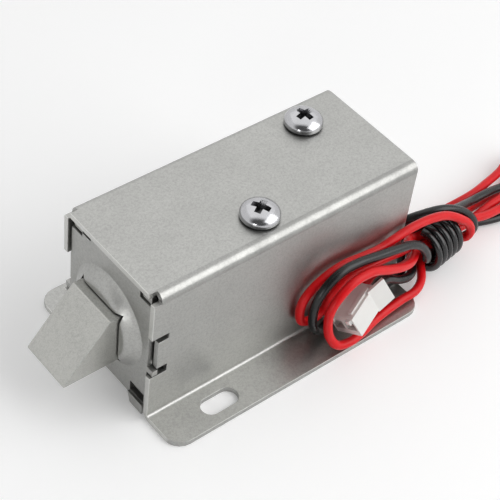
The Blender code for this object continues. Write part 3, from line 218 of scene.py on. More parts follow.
class Finish:
    """One node tree, built from expressions on its sockets."""

    def __init__(self, owner):
        owner.use_nodes = True
        self.tree = owner.node_tree
        self.tree.nodes.clear()

    def node(self, kind, settings=None, sockets=None, output=0):
        made = self.tree.nodes.new(kind)
        for name, setting in (settings or {}).items():
            setattr(made, name, setting)
        for key, value in (sockets or {}).items():
            self.feed(made.inputs[key], value)
        return Value(self, made.outputs[output]) if len(made.outputs) else None

    def feed(self, socket, value):
        if isinstance(value, Value):
            self.tree.links.new(value.output, socket)
        elif hasattr(value, "__len__") and len(value) == 3 and socket.type == "RGBA":
            socket.default_value = (*value, 1.0)
        else:
            socket.default_value = value

    def math(self, operation, *values):
        return self.node("ShaderNodeMath", {"operation": operation}, dict(enumerate(values)))

    def limited(self, value):
        return self.node("ShaderNodeClamp", {}, {"Value": value, "Min": 0.0, "Max": 1.0})

    def ramp(self, value, low, high):
        """A soft step from 0 at the low value to 1 at the high one."""
        settings = {"interpolation_type": "SMOOTHSTEP"}
        sockets = {"Value": value, "From Min": low, "From Max": high}
        return self.node("ShaderNodeMapRange", settings, sockets)

    def mix(self, factor, first, second):
        return self.node("ShaderNodeMix", {"data_type": "RGBA"}, {0: factor, 6: first, 7: second}, 2)

    def vector(self, operation, first, second, output=0):
        sockets = {0: first, 1: second}
        return self.node("ShaderNodeVectorMath", {"operation": operation}, sockets, output)

    def place(self):
        return self.node("ShaderNodeTexCoord", output="Object")

    def stretched(self, stretch):
        return self.vector("MULTIPLY", self.place(), stretch)

    def noise(self, size, detail=3.0, roughness=0.5, vector=None):
        sockets = {"Vector": vector or self.place(), "Scale": 1.0 / size}
        sockets.update({"Detail": detail, "Roughness": roughness})
        return self.node("ShaderNodeTexNoise", {}, sockets)

    def axis(self, name):
        return self.node("ShaderNodeSeparateXYZ", {}, {"Vector": self.place()}, name)

    def dome_height(self, head):
        """Height of the screw head's dome over each point of its foot."""
        radius, rim, crown = head
        square = self.axis("X") ** 2.0 + self.axis("Y") ** 2.0
        inside = self.math("MAXIMUM", 1.0 - square / (radius * radius), 0.0)
        return self.math("SQRT", inside) * (crown - rim) + rim

    def waves(self, value, pitch):
        return self.math("SINE", value * (2 * math.pi / pitch)) * 0.5 + 0.5

    def cells(self, size):
        sockets = {"Vector": self.place(), "Scale": 1.0 / size}
        return self.node("ShaderNodeTexVoronoi", {"feature": "F1"}, sockets)

    def direct_rays(self):
        """1 where a ray comes straight from the camera, a gloss or a clear piece."""
        kinds = ("Is Camera Ray", "Is Glossy Ray", "Is Transmission Ray")
        return self.limited(sum(self.node("ShaderNodeLightPath", output=kind) for kind in kinds))

    def bump(self, height, depth, under=None):
        sockets = {"Height": height, "Strength": 1.0, "Distance": depth}
        if under:
            sockets["Normal"] = under
        return self.node("ShaderNodeBump", {}, sockets)

    def surface(self, **sockets):
        named = {key.replace("_", " "): value for key, value in sockets.items()}
        shader = self.node("ShaderNodeBsdfPrincipled", {}, named)
        self.node("ShaderNodeOutputMaterial", {}, {"Surface": shader})


def material(name):
    made = bpy.data.materials.new(name)
    return made, Finish(made)


# Finishes

CASE_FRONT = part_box("case_shell")[0][0]
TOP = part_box("case_shell")[1][2]
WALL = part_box("front_plate")[1][1]
PLATE_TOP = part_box("front_plate")[1][2]
RING_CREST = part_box("front_plate")[0][0]
RING = (0.5 * MM, 1.3 * MM)          # how far behind its crest the ring's smoothness fades out
BEND_RADIUS = 1.8 * MM
BEND = (1.02, 0.90)                  # where a bend's finish starts and is full, in bend radii
SHEAR = (0.06 * MM, 0.16 * MM)       # how far behind the front the bare cut edge fades out
SHEAR_SHARE = 0.6                    # how much of the plating is gone at the cut edge
SHEAR_BRIGHT = 1.5                   # brightness of the bare edge, in that of the plating
PAINTED_BEND_SHADE = (0.3, 0.2)                   # painted shade that tones down the near bend's highlight: least darkening, and what clouds add to it
RING_POLISH = 0.07                   # how much smoother the punch leaves the ring
DUST = (0.6, 0.58, 0.56)
TAPE_LAP = 7.5 * MM


def shade(base, times):
    return [part * times for part in base]


def zinc_plate(steel):
    """Satin zinc over rolled sheet: clouds, grain, specks, rubs, polished bends, bare cut edges and
    painted shade on the near top bend.
    """
    made, f = material("zinc_plated_sheet")
    across = f.math("ABSOLUTE", f.axis("Y"))
    start, full = (TOP + WALL - BEND_RADIUS * reach for reach in BEND)
    bend = f.ramp(across + f.axis("Z"), start, full)
    ring = 1.0 - f.ramp(f.axis("X"), RING_CREST + RING[0], RING_CREST + RING[1])
    outer = f.math("MAXIMUM", across + (TOP - PLATE_TOP - WALL), f.axis("Z") - PLATE_TOP) > 0.0
    shear = outer * (1.0 - f.ramp(f.axis("X") - CASE_FRONT, *SHEAR))
    clouds = f.noise(steel.cloud, detail=4.0, roughness=0.62)
    mottle = f.noise(steel.cloud / 9, detail=3.0, roughness=0.6)
    grain = f.noise(steel.grain, detail=2.0, roughness=0.6)
    speckle = f.noise(steel.grain * 2.6, detail=3.0, roughness=0.75)
    specks = f.ramp(f.cells(steel.cloud / 4), 0.03, 0.08)
    streaks = f.noise(steel.grain * 5, detail=2.0, vector=f.stretched((0.12, 0.7, 1.0)))
    dull = f.limited(clouds * 0.9 + mottle * 0.5 - 0.2)
    base = f.mix(dull, steel.zinc, steel.zinc_dull)
    base = f.mix(f.limited(grain * 1.8 - 0.5) * 0.55, base, shade(steel.zinc_dull, 0.62))
    base = f.mix(f.ramp(speckle, 0.42, 0.66) * 0.42, base, shade(steel.zinc_dull, 0.66))
    base = f.mix((1.0 - specks) * 0.22, base, shade(steel.zinc_dull, 0.55))
    base = f.mix(f.ramp(streaks, 0.62, 0.80) * 0.12, base, shade(steel.zinc_dull, 0.75))
    base = f.mix(shear * SHEAR_SHARE, base, shade(steel.zinc, SHEAR_BRIGHT))
    # Painted shade on the near top bend only, darker where the clouds are, that tones down the highlight
    # there; the far bend keeps the plain plating.
    least, added = PAINTED_BEND_SHADE
    painted_bend_shade = bend * (f.axis("Y") < 0.0) * (f.ramp(clouds, 0.35, 0.65) * added + least)
    base = f.mix(painted_bend_shade, base, shade(steel.zinc_dull, 0.45))
    roughness = f.limited(steel.zinc_roughness + (mottle - 0.5) * 0.18 + (clouds - 0.5) * 0.16)
    roughness = roughness - bend * steel.burnish - ring * RING_POLISH
    relief = f.bump(grain, 0.009 * MM, f.bump(mottle, 0.012 * MM))
    f.surface(Base_Color=base, Metallic=0.96, Roughness=roughness, Normal=relief)
    return made


def bright_finish(f, steel):
    """Colour, roughness and relief of bright plating with faint swirls and handling haze."""
    haze = f.noise(1.6 * MM, roughness=0.6)
    fine = f.noise(0.22 * MM, detail=2.0)
    base = f.mix(f.limited(haze * 1.4 - 0.35), steel.nickel, shade(steel.nickel, 0.8))
    return base, f.limited(0.10 + haze * 0.12 + fine * 0.05), f.bump(fine, 0.004 * MM)


def nickel_plate(steel):
    """Bright plating for the plunger and its pin."""
    made, f = material("bright_nickel")
    base, roughness, relief = bright_finish(f, steel)
    f.surface(Base_Color=base, Metallic=1.0, Roughness=roughness, Normal=relief)
    return made


def screw_plate(steel, head):
    """Bright plating with painted shade down in the cross recess and at the foot of the head."""
    made, f = material("bright_screw")
    base, roughness, relief = bright_finish(f, steel)
    # Painted shade: the plating is darker and rougher down in the cross recess and at the foot of the
    # head, where the dome meets the sheet.
    sunk = f.dome_height(head) - f.axis("Z")
    painted_recess_shade = f.ramp(sunk, 0.08 * MM, 0.90 * MM)
    base = f.mix(painted_recess_shade * 0.85, base, shade(steel.nickel, 0.10))
    roughness = f.limited(roughness + painted_recess_shade * 0.25)
    f.surface(Base_Color=base, Metallic=1.0, Roughness=roughness, Normal=relief)
    return made


def cast_steel(steel):
    """The bolt's dense cast or pressed metal: fine even grain, soft clouds and rubbed high spots."""
    made, f = material("cast_bolt")
    grain = f.noise(steel.bolt_grain, roughness=0.65)
    coarse = f.noise(steel.bolt_grain * 3, detail=2.0, roughness=0.6)
    wide = f.noise(4 * MM, roughness=0.55)
    dark = f.limited((grain - 0.42) * 2.0 + (coarse - 0.5) * 0.7 + (wide - 0.5) * 0.5)
    base = f.mix(dark, steel.bolt, steel.bolt_pit)
    roughness = f.limited(0.27 + grain * 0.16 + coarse * 0.08)
    relief = f.bump(coarse, 0.015 * MM, f.bump(grain, 0.012 * MM))
    f.surface(Base_Color=base, Metallic=0.96, Roughness=roughness, Normal=relief)
    return made


def moulded(name, base, roughness, grain):
    """Moulded plastic: even colour with faint clouding, a fine mould texture and soft gloss."""
    made, f = material(name)
    clouds = f.noise(3.5 * MM, roughness=0.55)
    fine = f.noise(grain, detail=2.0, roughness=0.6)
    tint = f.mix(f.limited(clouds * 0.8 - 0.1), base, shade(base, 0.9))
    rough = f.limited(roughness + (fine - 0.5) * 0.2)
    f.surface(Base_Color=tint, Roughness=rough, Normal=f.bump(fine, 0.006 * MM))
    return made


def insulation(name, base, gloss):
    """Soft extruded insulation: a slight waviness, dust-fine matting and a soft sheen."""
    made, f = material(name)
    waves = f.noise(2.2 * MM, detail=2.0)
    fine = f.noise(0.12 * MM, detail=2.0, roughness=0.6)
    dust = f.ramp(f.noise(0.9 * MM, detail=4.0, roughness=0.7), 0.56, 0.80)
    tint = f.mix(f.limited(waves), base, shade(base, 0.82))
    tint = f.mix(dust * 0.02, tint, DUST)
    rough = f.limited(0.42 - gloss * 0.3 + (fine - 0.5) * 0.14 + (waves - 0.5) * 0.12 + dust * 0.1)
    relief = f.bump(waves, 0.03 * MM, f.bump(fine, 0.003 * MM))
    f.surface(Base_Color=tint, Roughness=rough, Normal=relief, Specular_IOR_Level=gloss)
    return made


def enamelled_winding(coil):
    """Enamelled copper turns side by side."""
    made, f = material("enamelled_winding")
    turns = f.waves(f.axis("X"), coil.turn_pitch)
    patches = f.noise(3 * MM)
    base = f.mix(f.limited(turns * 0.7 + patches * 0.3), shade(coil.copper, 0.35), coil.copper)
    roughness = f.limited(0.25 + patches * 0.15)
    f.surface(Base_Color=base, Metallic=0.8, Roughness=roughness, Normal=f.bump(turns, 0.08 * MM))
    return made


def wound_tape(coil):
    """Thin polyester tape with lapped edges over the turns beneath."""
    made, f = material("wound_tape")
    laps = f.ramp(f.waves(f.axis("X"), TAPE_LAP), 0.94, 1.0)
    turns = f.waves(f.axis("X"), coil.turn_pitch * 2)
    creases = f.noise(1.2 * MM, detail=4.0, roughness=0.6, vector=f.stretched((0.25, 1.0, 1.0)))
    base = f.mix(f.limited(laps * 0.5 + creases * 0.3), coil.tape, shade(coil.tape, 0.55))
    relief = f.bump(creases, 0.03 * MM, f.bump(turns, 0.01 * MM))
    f.surface(Base_Color=base, Roughness=f.limited(0.22 + creases * 0.2), Normal=relief)
    return made


def drawn_metal(name, base, roughness):
    """Drawn metal with fine lines along its length and a little tarnish."""
    made, f = material(name)
    lines = f.noise(0.12 * MM, detail=2.0, vector=f.stretched((0.03, 1.0, 1.0)))
    tarnish = f.noise(1.8 * MM, detail=4.0, roughness=0.6)
    tint = f.mix(f.limited(tarnish * 1.2 - 0.25), base, shade(base, 0.7))
    rough = f.limited(roughness + tarnish * 0.15)
    f.surface(Base_Color=tint, Metallic=1.0, Roughness=rough, Normal=f.bump(lines, 0.003 * MM))
    return made


# Pieces

WELD = 0.002 * MM            # points closer than this are one point
FLAT = math.radians(0.5)     # facets that turn less than this are one face
SHARP = 32                   # degrees over which an edge is rounded


def link(name, data):
    piece = bpy.data.objects.new(name, data)
    bpy.context.scene.collection.objects.link(piece)
    return piece


def stand_in(piece, slot_name, *nodes):
    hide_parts(*nodes)
    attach(piece, frame["nodes"][nodes[0]]["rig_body"])
    return piece


def round_wire(name, points, diameter):
    """A round wire along close points, with filled ends."""
    curve = bpy.data.curves.new(name, "CURVE")
    curve.dimensions = "3D"
    curve.bevel_depth = diameter / 2
    curve.bevel_resolution = 4
    curve.use_fill_caps = True
    spline = curve.splines.new("POLY")
    spline.points.add(len(points) - 1)
    for point, place in zip(spline.points, points):
        point.co = (*place, 1)
    spline.use_smooth = True
    return link(name, curve)


def dressed(node, edge, slot_name, sharp=SHARP):
    """A finer stand-in for a CAD node: facets joined, edges over so many degrees rounded."""
    source = frame["nodes"][node]
    shape = bmesh.new()
    shape.from_mesh(source.data)
    bmesh.ops.remove_doubles(shape, verts=shape.verts, dist=WELD)
    bmesh.ops.dissolve_limit(shape, angle_limit=FLAT, verts=shape.verts, edges=shape.edges)
    mesh = bpy.data.meshes.new(node + "_skin")
    shape.to_mesh(mesh)
    shape.free()
    mesh.materials.clear()
    mesh.shade_smooth()
    piece = link(node + "_skin", mesh)
    rounding = piece.modifiers.new("rounded_edges", "BEVEL")
    rounding.width = edge
    rounding.segments = 2
    rounding.limit_method = "ANGLE"
    rounding.angle_limit = math.radians(sharp)
    keep_flats(piece)
    return stand_in(piece, slot_name, node)


def keep_flats(piece):
    """Let large faces set the shading, so flat sheet stays flat beside a bend."""
    flats = piece.modifiers.new("flat_faces", "WEIGHTED_NORMAL")
    flats.mode = "FACE_AREA"
    flats.weight = 100


def coat(piece, made):
    piece.data.materials.clear()
    piece.data.materials.append(made)


class LOCK_OT_case(Operator):
    """Finish the folded case, the ringed front plate, the yoke, the pole plate and the core"""

    bl_idname = "lock.case"
    bl_label = "Case and plates"

    def execute(self, context):
        steel = context.scene.lock_steel
        plated = zinc_plate(steel)
        for node in ("case_shell", "front_plate", "yoke", "pole_plate", "fixed_core"):
            coat(dressed(node, steel.edge_round, "zinc_plated_steel"), plated)
        return {"FINISHED"}


class LOCK_OT_bolt(Operator):
    """Finish the slanted bolt"""

    bl_idname = "lock.bolt"
    bl_label = "Bolt"

    def execute(self, context):
        steel = context.scene.lock_steel
        coat(dressed("latch_bolt", steel.bolt_edge, "sintered_steel"), cast_steel(steel))
        return {"FINISHED"}


HEAD = (3.3 * MM, 0.5 * MM, 2.1 * MM)    # radius, height of the rim, height of the crown
HEAD_CHAMFER = 0.12 * MM                 # under the rim
HEAD_RINGS = 20
SHANK_RADIUS = 1.5 * MM
TIP_CHAMFER = 0.3 * MM
TURN_STEPS = 72
SCREW_TURNS = {"front_screw": 28, "rear_screw": 8}
RECESS_FOOT = (0.42, 0.55)               # length and width of a recess arm's floor, in those of its mouth
ABOVE_CROWN = 0.1 * MM                   # how far the cutting block stands over the head
SHARP_RIM = math.radians(35)
SLIVER = 0.01 * MM                       # faces narrower than this are left out after a cut


def lathed(profile):
    """A closed shape turned round Z from (height, radius) pairs."""
    shape = bmesh.new()
    corners = [shape.verts.new((radius, 0, height)) for height, radius in profile]
    edges = [shape.edges.new(pair) for pair in zip(corners, corners[1:])]
    bmesh.ops.spin(shape, geom=corners + edges, cent=(0, 0, 0), axis=(0, 0, 1),
                   angle=2 * math.pi, steps=TURN_STEPS, use_duplicate=False)
    bmesh.ops.remove_doubles(shape, verts=shape.verts, dist=WELD)
    bmesh.ops.recalc_face_normals(shape, faces=shape.faces)
    return shape


def wedge(mouth, floor, top, bottom):
    """A tapered block, wide at its mouth and narrow at its floor."""
    shape = bmesh.new()
    for (x, y), z in ((mouth, top), (floor, bottom)):
        for side_x, side_y in ((-1, -1), (1, -1), (1, 1), (-1, 1)):
            shape.verts.new((side_x * x / 2, side_y * y / 2, z))
    bmesh.ops.convex_hull(shape, input=shape.verts)
    return shape


def as_piece(name, shape):
    mesh = bpy.data.meshes.new(name)
    shape.to_mesh(mesh)
    shape.free()
    return link(name, mesh)


def cross_head_screw(node, steel, made):
    """A pan-head screw in place of its node, with a fine dome and a tapered cross recess."""
    low, high = (Vector(corner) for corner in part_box(node))
    radius, rim, crown = HEAD
    seat = high.z - crown
    slopes = [math.pi / 2 * i / HEAD_RINGS for i in range(HEAD_RINGS + 1)]
    dome = [(rim + (crown - rim) * math.sin(a), radius * math.cos(a)) for a in slopes]
    tip = low.z - seat
    foot = [(HEAD_CHAMFER, radius), (0, radius - HEAD_CHAMFER), (0, SHANK_RADIUS)]
    end = [(tip + TIP_CHAMFER, SHANK_RADIUS), (tip, SHANK_RADIUS - TIP_CHAMFER), (tip, 0)]
    screw = as_piece(node + "_turned", lathed(dome[::-1] + foot + end))
    mouth = (steel.cross_length, steel.cross_width)
    floor = [size * part for size, part in zip(mouth, RECESS_FOOT)]
    arms = {"arm_a": (mouth, floor), "arm_b": (mouth[::-1], floor[::-1])}
    for name, (wide_end, narrow_end) in arms.items():
        arm = as_piece(name, wedge(wide_end, narrow_end, crown + ABOVE_CROWN, crown - steel.cross_depth))
        cut = screw.modifiers.new(name, "BOOLEAN")
        cut.operation = "DIFFERENCE"
        cut.solver = "EXACT"
        cut.object = arm
        settle(screw)
        bpy.data.objects.remove(arm)
    screw.data.shade_smooth()
    screw.data.set_sharp_from_angle(angle=SHARP_RIM)
    screw.location = ((low.x + high.x) / 2, (low.y + high.y) / 2, seat)
    screw.rotation_euler = (0, 0, math.radians(SCREW_TURNS[node]))
    coat(screw, made)
    return stand_in(screw, "bright_steel", node)


def settle(piece):
    """Turn a piece's modifiers into its mesh, without the slivers that a cut leaves."""
    graph = bpy.context.evaluated_depsgraph_get()
    mesh = bpy.data.meshes.new_from_object(piece.evaluated_get(graph))
    piece.modifiers.clear()
    shape = bmesh.new()
    shape.from_mesh(mesh)
    bmesh.ops.remove_doubles(shape, verts=shape.verts, dist=SLIVER)
    bmesh.ops.dissolve_degenerate(shape, edges=shape.edges, dist=SLIVER)
    shape.to_mesh(mesh)
    shape.free()
    piece.data = mesh


class LOCK_OT_screws(Operator):
    """Make the two case screws, and finish the plunger and its pin"""

    bl_idname = "lock.screws"
    bl_label = "Screws and plunger"

    def execute(self, context):
        steel = context.scene.lock_steel
        made = screw_plate(steel, HEAD)
        for node in SCREW_TURNS:
            cross_head_screw(node, steel, made)
        bright = nickel_plate(steel)
        for node in ("plunger", "cross_pin"):
            coat(dressed(node, steel.edge_round, "bright_steel"), bright)
        return {"FINISHED"}


# Leads, tie and plug

CASE_CORNER = Vector((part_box("case_shell")[1][0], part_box("front_plate")[0][1], 0))
LUG_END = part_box("bobbin")[1][0]
LEAD_HOLES = {"red": (-8.2 * MM, 8.0 * MM), "black": (-5.8 * MM, 8.0 * MM)}
LEAD_IN = 1.2 * MM           # wire's end inside its hole in the lug
LEAD_OUT = 0.8 * MM          # straight stretch behind the lug
CURVE_STEPS = 8

TIE_FROM_CORNER = (9.1 * MM, 0.9 * MM, 5.0 * MM)
TIE_HEADING = 8.9            # degrees from the bolt's axis towards the far side
TIE_REACH = 3.4 * MM         # half of its length
TIE_FIRST = 90               # degrees at which it starts
TIE_TAIL = 3.0 * MM
TIE_TAIL_TURN = 36
TIE_TAIL_STEPS = 8
TIE_STEPS = 40
GLOSS = {"red": 0.26, "black": 0.45, "tie": 0.60}
LANE_RADIUS = 2.3 * MM       # wires in the tie stand round one in the middle
LANE_REACH = 3.5 * MM        # half of a pass through the tie
LANE_TWIST = 54              # degrees by which the wires turn on that pass

PLUG_FROM_CORNER = (-13.96 * MM, -4.73 * MM, 6.27 * MM)
PLUG_TURN = (-28.2, -15.8, 19.4)    # degrees round X, Y and Z
PLUG_LENGTH = 7.5 * MM
PLUG_PITCH = 2.5 * MM
PLUG_WIRE_END = 1.85 * MM    # wire's end, from the plug's middle towards the wires
WIRE_BEHIND_PLUG = 1.6 * MM
PLUG_SHARP = 12              # degrees, so that the lip's low crease stays crisp
PLUG_GRAIN = 0.2 * MM


def tie_point(along, angle, radius):
    """A place round the middle line of the tie; the angle runs from the far side over the top."""
    heading = math.radians(TIE_HEADING)
    forward = Vector((math.cos(heading), math.sin(heading), 0))
    across = Vector((-math.sin(heading), math.cos(heading), 0))
    turn = math.radians(angle)
    middle = CASE_CORNER + Vector(TIE_FROM_CORNER)
    outward = across * math.cos(turn) + Vector((0, 0, math.sin(turn)))
    return middle + forward * along + outward * radius


def lane(angle, to_rear, radius=LANE_RADIUS):
    """Three points of one pass through the tie, at this angle in the tie's middle."""
    points = [tie_point(LANE_REACH * step, angle + LANE_TWIST / 2 * step, radius)
              for step in (-1, 0, 1)]
    return points if to_rear else points[::-1]


def plug_matrix():
    """Where the plug lies: its own X runs to the wires' end."""
    turn = Euler([math.radians(angle) for angle in PLUG_TURN]).to_matrix().to_4x4()
    return Matrix.Translation(CASE_CORNER + Vector(PLUG_FROM_CORNER)) @ turn


def into_plug(side):
    """The last two points of a wire: just behind the plug and inside its bore."""
    places = [(PLUG_LENGTH / 2 + WIRE_BEHIND_PLUG, side, 0), (PLUG_WIRE_END, side, 0)]
    return [plug_matrix() @ Vector(place) for place in places]


def from_lug(name):
    """The first two points of a wire: inside its hole in the lug and just behind the lug."""
    y, z = LEAD_HOLES[name]
    return [Vector((LUG_END - LEAD_IN, y, z)), Vector((LUG_END + LEAD_OUT, y, z))]


def beside_case(*points):
    """Points of a route, in millimetres from the foot of the near wall's rear end."""
    return [CASE_CORNER + Vector(point) * MM for point in points]


def red_route():
    """The red lead: to the far fold and back, two loops beside the case, a second fold and the plug."""
    return (
        from_lug("red")
        + beside_case((3.0, 5.1, 5.4), (5.0, 6.8, 3.4), (7.9, 7.7, 1.9), (11.9, 7.8, 1.4),
                      (15.4, 7.1, 1.9), (20.4, 6.3, 2.8), (25.4, 6.0, 3.4), (30.4, 6.9, 3.1),
                      (34.9, 7.9, 2.9), (38.2, 9.2, 2.9), (41.6, 9.8, 2.9), (45.1, 8.0, 2.9),
                      (46.6, 3.7, 2.9), (45.1, -0.6, 2.9), (41.6, -2.4, 2.9), (37.9, -1.7, 2.9),
                      (34.4, -0.5, 2.9), (30.4, 0.4, 2.9), (26.4, 0.3, 3.5), (22.4, 0.0, 4.4),
                      (18.4, 0.2, 5.6), (16.0, 0.4, 6.7))
        + lane(90, False)
        + beside_case((3.6, 1.3, 7.9), (2.2, 0.1, 8.7), (1.0, -1.0, 9.2), (-1.0, -1.35, 9.7),
                      (-4.6, -1.25, 10.0), (-8.6, -1.25, 10.3), (-12.2, -1.25, 10.5),
                      (-15.0, -1.25, 9.6), (-17.0, -1.25, 7.6), (-18.3, -1.3, 5.3), (-20.6, -1.3, 4.5),
                      (-22.8, -1.25, 5.4), (-23.7, -1.25, 7.8), (-23.3, -1.25, 10.7),
                      (-21.1, -1.25, 12.9), (-18.0, -1.25, 14.2), (-14.8, -1.25, 14.5),
                      (-10.8, -1.25, 13.9), (-6.7, -1.25, 13.5), (-3.2, -1.25, 14.1),
                      (1.1, -1.25, 14.5), (5.4, -1.2, 13.9), (9.4, -1.3, 12.5), (12.3, -2.0, 10.7),
                      (14.5, -2.5, 8.6), (15.2, -2.8, 6.7), (14.9, -2.5, 5.3), (14.1, -1.7, 4.8))
        + lane(150, False)
        + beside_case((3.8, -0.9, 7.3), (2.6, -1.6, 7.6), (1.4, -2.4, 7.9), (-0.2, -3.3, 8.3),
                      (-3.2, -4.3, 9.7), (-7.5, -4.9, 12.0), (-12.2, -5.1, 14.4), (-16.4, -5.3, 14.7),
                      (-19.6, -5.5, 13.0), (-21.2, -5.6, 10.6), (-21.4, -5.8, 7.8), (-21.0, -6.3, 5.0),
                      (-19.7, -7.1, 2.9), (-17.2, -7.4, 2.2), (-14.0, -7.0, 2.1), (-9.6, -6.0, 2.1),
                      (-3.3, -5.4, 2.3), (0.2, -5.3, 2.4), (3.0, -3.9, 2.4))
        + lane(270, True)
        + beside_case((15.4, 2.0, 2.8), (18.4, 1.4, 2.7), (22.4, 1.8, 2.9), (26.4, 2.4, 2.9),
                      (30.4, 2.5, 2.9), (34.4, 1.8, 2.9), (37.9, 0.5, 2.9), (41.3, 0.0, 2.9),
                      (43.6, 1.2, 2.9), (44.4, 3.7, 2.9), (43.6, 6.3, 2.9), (41.4, 7.6, 2.9),
                      (38.4, 7.1, 2.7), (34.4, 5.8, 1.4), (30.4, 5.4, 0.95), (26.4, 5.0, 1.2),
                      (22.4, 4.3, 2.1), (18.4, 3.4, 3.9), (15.6, 2.2, 5.0))
        + lane(0, False, radius=0)
        + beside_case((3.6, -0.3, 5.1), (2.0, -1.2, 5.4), (-0.2, -1.7, 5.8), (-3.2, -1.6, 6.7),
                      (-5.6, -1.3, 7.5), (-7.8, -1.45, 7.6))
        + into_plug(PLUG_PITCH / 2))


def black_route():
    """The black lead: over the tie, one loop beside the case, the low fold and the plug."""
    return (
        from_lug("black")
        + beside_case((1.7, 5.6, 8.5), (3.4, 4.4, 9.3), (6.4, 2.4, 11.2), (10.4, 0.7, 11.9),
                      (14.2, -0.3, 10.3), (16.6, -1.4, 7.9), (17.2, -1.8, 5.5), (16.2, -1.1, 3.5),
                      (14.6, -0.1, 2.7))
        + lane(210, False)
        + beside_case((4.4, -2.9, 6.0), (3.6, -3.4, 7.7), (2.6, -3.4, 9.6), (1.2, -3.25, 11.3),
                      (-1.4, -3.15, 12.9), (-4.8, -3.2, 13.9), (-9.2, -3.25, 14.9),
                      (-13.7, -3.25, 15.9), (-17.3, -3.25, 16.0), (-20.2, -3.25, 14.6),
                      (-22.2, -3.25, 11.8), (-22.7, -3.3, 8.6), (-22.0, -3.4, 5.2), (-19.9, -2.9, 2.8),
                      (-17.0, -1.9, 2.2), (-13.2, -1.5, 2.2), (-7.2, -1.25, 2.4), (-3.6, -1.25, 2.7),
                      (-0.2, -1.3, 2.9), (1.4, -0.45, 2.7), (2.8, 1.4, 3.4), (3.8, 2.2, 4.3))
        + lane(30, True)
        + beside_case((15.4, 2.3, 7.6), (18.4, 2.9, 6.5), (22.4, 3.8, 4.9), (26.4, 4.2, 4.2),
                      (30.4, 4.6, 3.2), (33.9, 4.3, 2.6), (36.9, 4.4, 1.5), (39.4, 5.9, 0.97),
                      (42.4, 7.3, 0.95), (45.4, 6.3, 0.95), (46.66, 3.1, 0.95), (45.1, -0.5, 0.95),
                      (41.6, -2.2, 0.95), (37.4, -2.0, 0.95), (33.9, -1.1, 0.95), (30.4, -0.2, 0.95),
                      (26.4, 0.5, 0.95), (22.4, 1.9, 0.97), (19.2, 3.5, 1.1), (17.0, 4.6, 2.4),
                      (14.9, 4.3, 4.3))
        + lane(330, False)
        + beside_case((3.7, -0.4, 3.15), (2.2, -2.1, 3.7), (-0.2, -3.3, 4.4), (-3.0, -3.4, 5.5),
                      (-5.4, -3.5, 7.2), (-7.4, -3.8, 8.2))
        + into_plug(-PLUG_PITCH / 2))


def smooth_curve(points):
    """A smooth curve through all points, with knots spaced by the root of the distance."""
    points = [2 * points[0] - points[1]] + points + [2 * points[-1] - points[-2]]
    curve = []
    for four in zip(points, points[1:], points[2:], points[3:]):
        knots = [0.0]
        for first, second in zip(four, four[1:]):
            knots.append(knots[-1] + math.sqrt((second - first).length))
        for i in range(CURVE_STEPS):
            place = knots[1] + (knots[2] - knots[1]) * i / CURVE_STEPS
            curve.append(curve_point(four, knots, place))
    return curve + [points[-2]]


def curve_point(four, knots, place):
    """The point at one place between the second and the third of four points."""
    def blend(first, second, low, high):
        return first.lerp(second, (place - knots[low]) / (knots[high] - knots[low]))
    legs = [blend(four[i], four[i + 1], i, i + 1) for i in range(3)]
    sides = [blend(legs[i], legs[i + 1], i, i + 2) for i in range(2)]
    return blend(sides[0], sides[1], 1, 2)


def tie_line(harness):
    """The middle line of the tie's turns and its short tail."""
    count = int(harness.tie_turns * TIE_STEPS)
    points = []
    for i in range(count + 1):
        angle = TIE_FIRST + 360 * i / TIE_STEPS
        points.append(tie_point(TIE_REACH * (2 * i / count - 1), angle, harness.tie_radius))
    for i in range(1, TIE_TAIL_STEPS + 1):
        part = i / TIE_TAIL_STEPS
        along = TIE_REACH + TIE_TAIL * part
        points.append(tie_point(along, angle + TIE_TAIL_TURN * part, harness.tie_radius))
    return points


class LOCK_OT_harness(Operator):
    """Lay the two leads, their tie and their plug"""

    bl_idname = "lock.harness"
    bl_label = "Leads and plug"

    def execute(self, context):
        harness = context.scene.lock_harness
        coil = context.scene.lock_coil
        steel = context.scene.lock_steel
        tie = round_wire("tie_turns", tie_line(harness), harness.tie_wire)
        coat(tie, insulation("tie_cover", harness.black, GLOSS["tie"]))
        stand_in(tie, "black_pvc", "wire_tie")
        plug = dressed("plug_housing", harness.plug_edge, "white_nylon", sharp=PLUG_SHARP)
        coat(plug, moulded("plug_nylon", coil.nylon, roughness=0.4, grain=PLUG_GRAIN))
        contact = drawn_metal("tinned_contact", harness.tin, roughness=0.25)
        contacts = {}
        for name in ("red", "black"):
            contacts[name] = dressed(name + "_terminal", steel.edge_round, "tinned_contact")
            coat(contacts[name], contact)
        leads = {
            "red": (red_route(), harness.red, harness.red_length),
            "black": (black_route(), harness.black, harness.black_length),
        }
        for name, (route, tint, real_length) in leads.items():
            lead = round_wire(name + "_lead", smooth_curve(route), harness.wire)
            coat(lead, insulation(name + "_insulation", tint, GLOSS[name]))
            stand_in(lead, name + "_pvc", name + "_wire")
        return {"FINISHED"}


# Coil and spring

BOBBIN_GRAIN = 0.3 * MM
SPRING_STEPS = 36            # points in a turn
SPRING_CLOSED = 1.1          # closed end turn's pitch in wire diameters


class LOCK_OT_coil(Operator):
    """Finish the bobbin, the winding, its tape and the guide tube"""

    bl_idname = "lock.coil"
    bl_label = "Coil"

    def execute(self, context):
        coil = context.scene.lock_coil
        edge = context.scene.lock_steel.edge_round
        finishes = {
            "bobbin": (moulded("bobbin_nylon", coil.nylon, 0.45, BOBBIN_GRAIN), "white_nylon"),
            "coil_winding": (enamelled_winding(coil), "enamelled_copper"),
            "coil_tape": (wound_tape(coil), "yellow_tape"),
            "guide_tube": (drawn_metal("drawn_brass", coil.brass, roughness=0.22), "brass"),
        }
        for node, (made, slot_name) in finishes.items():
            coat(dressed(node, edge, slot_name), made)
        return {"FINISHED"}


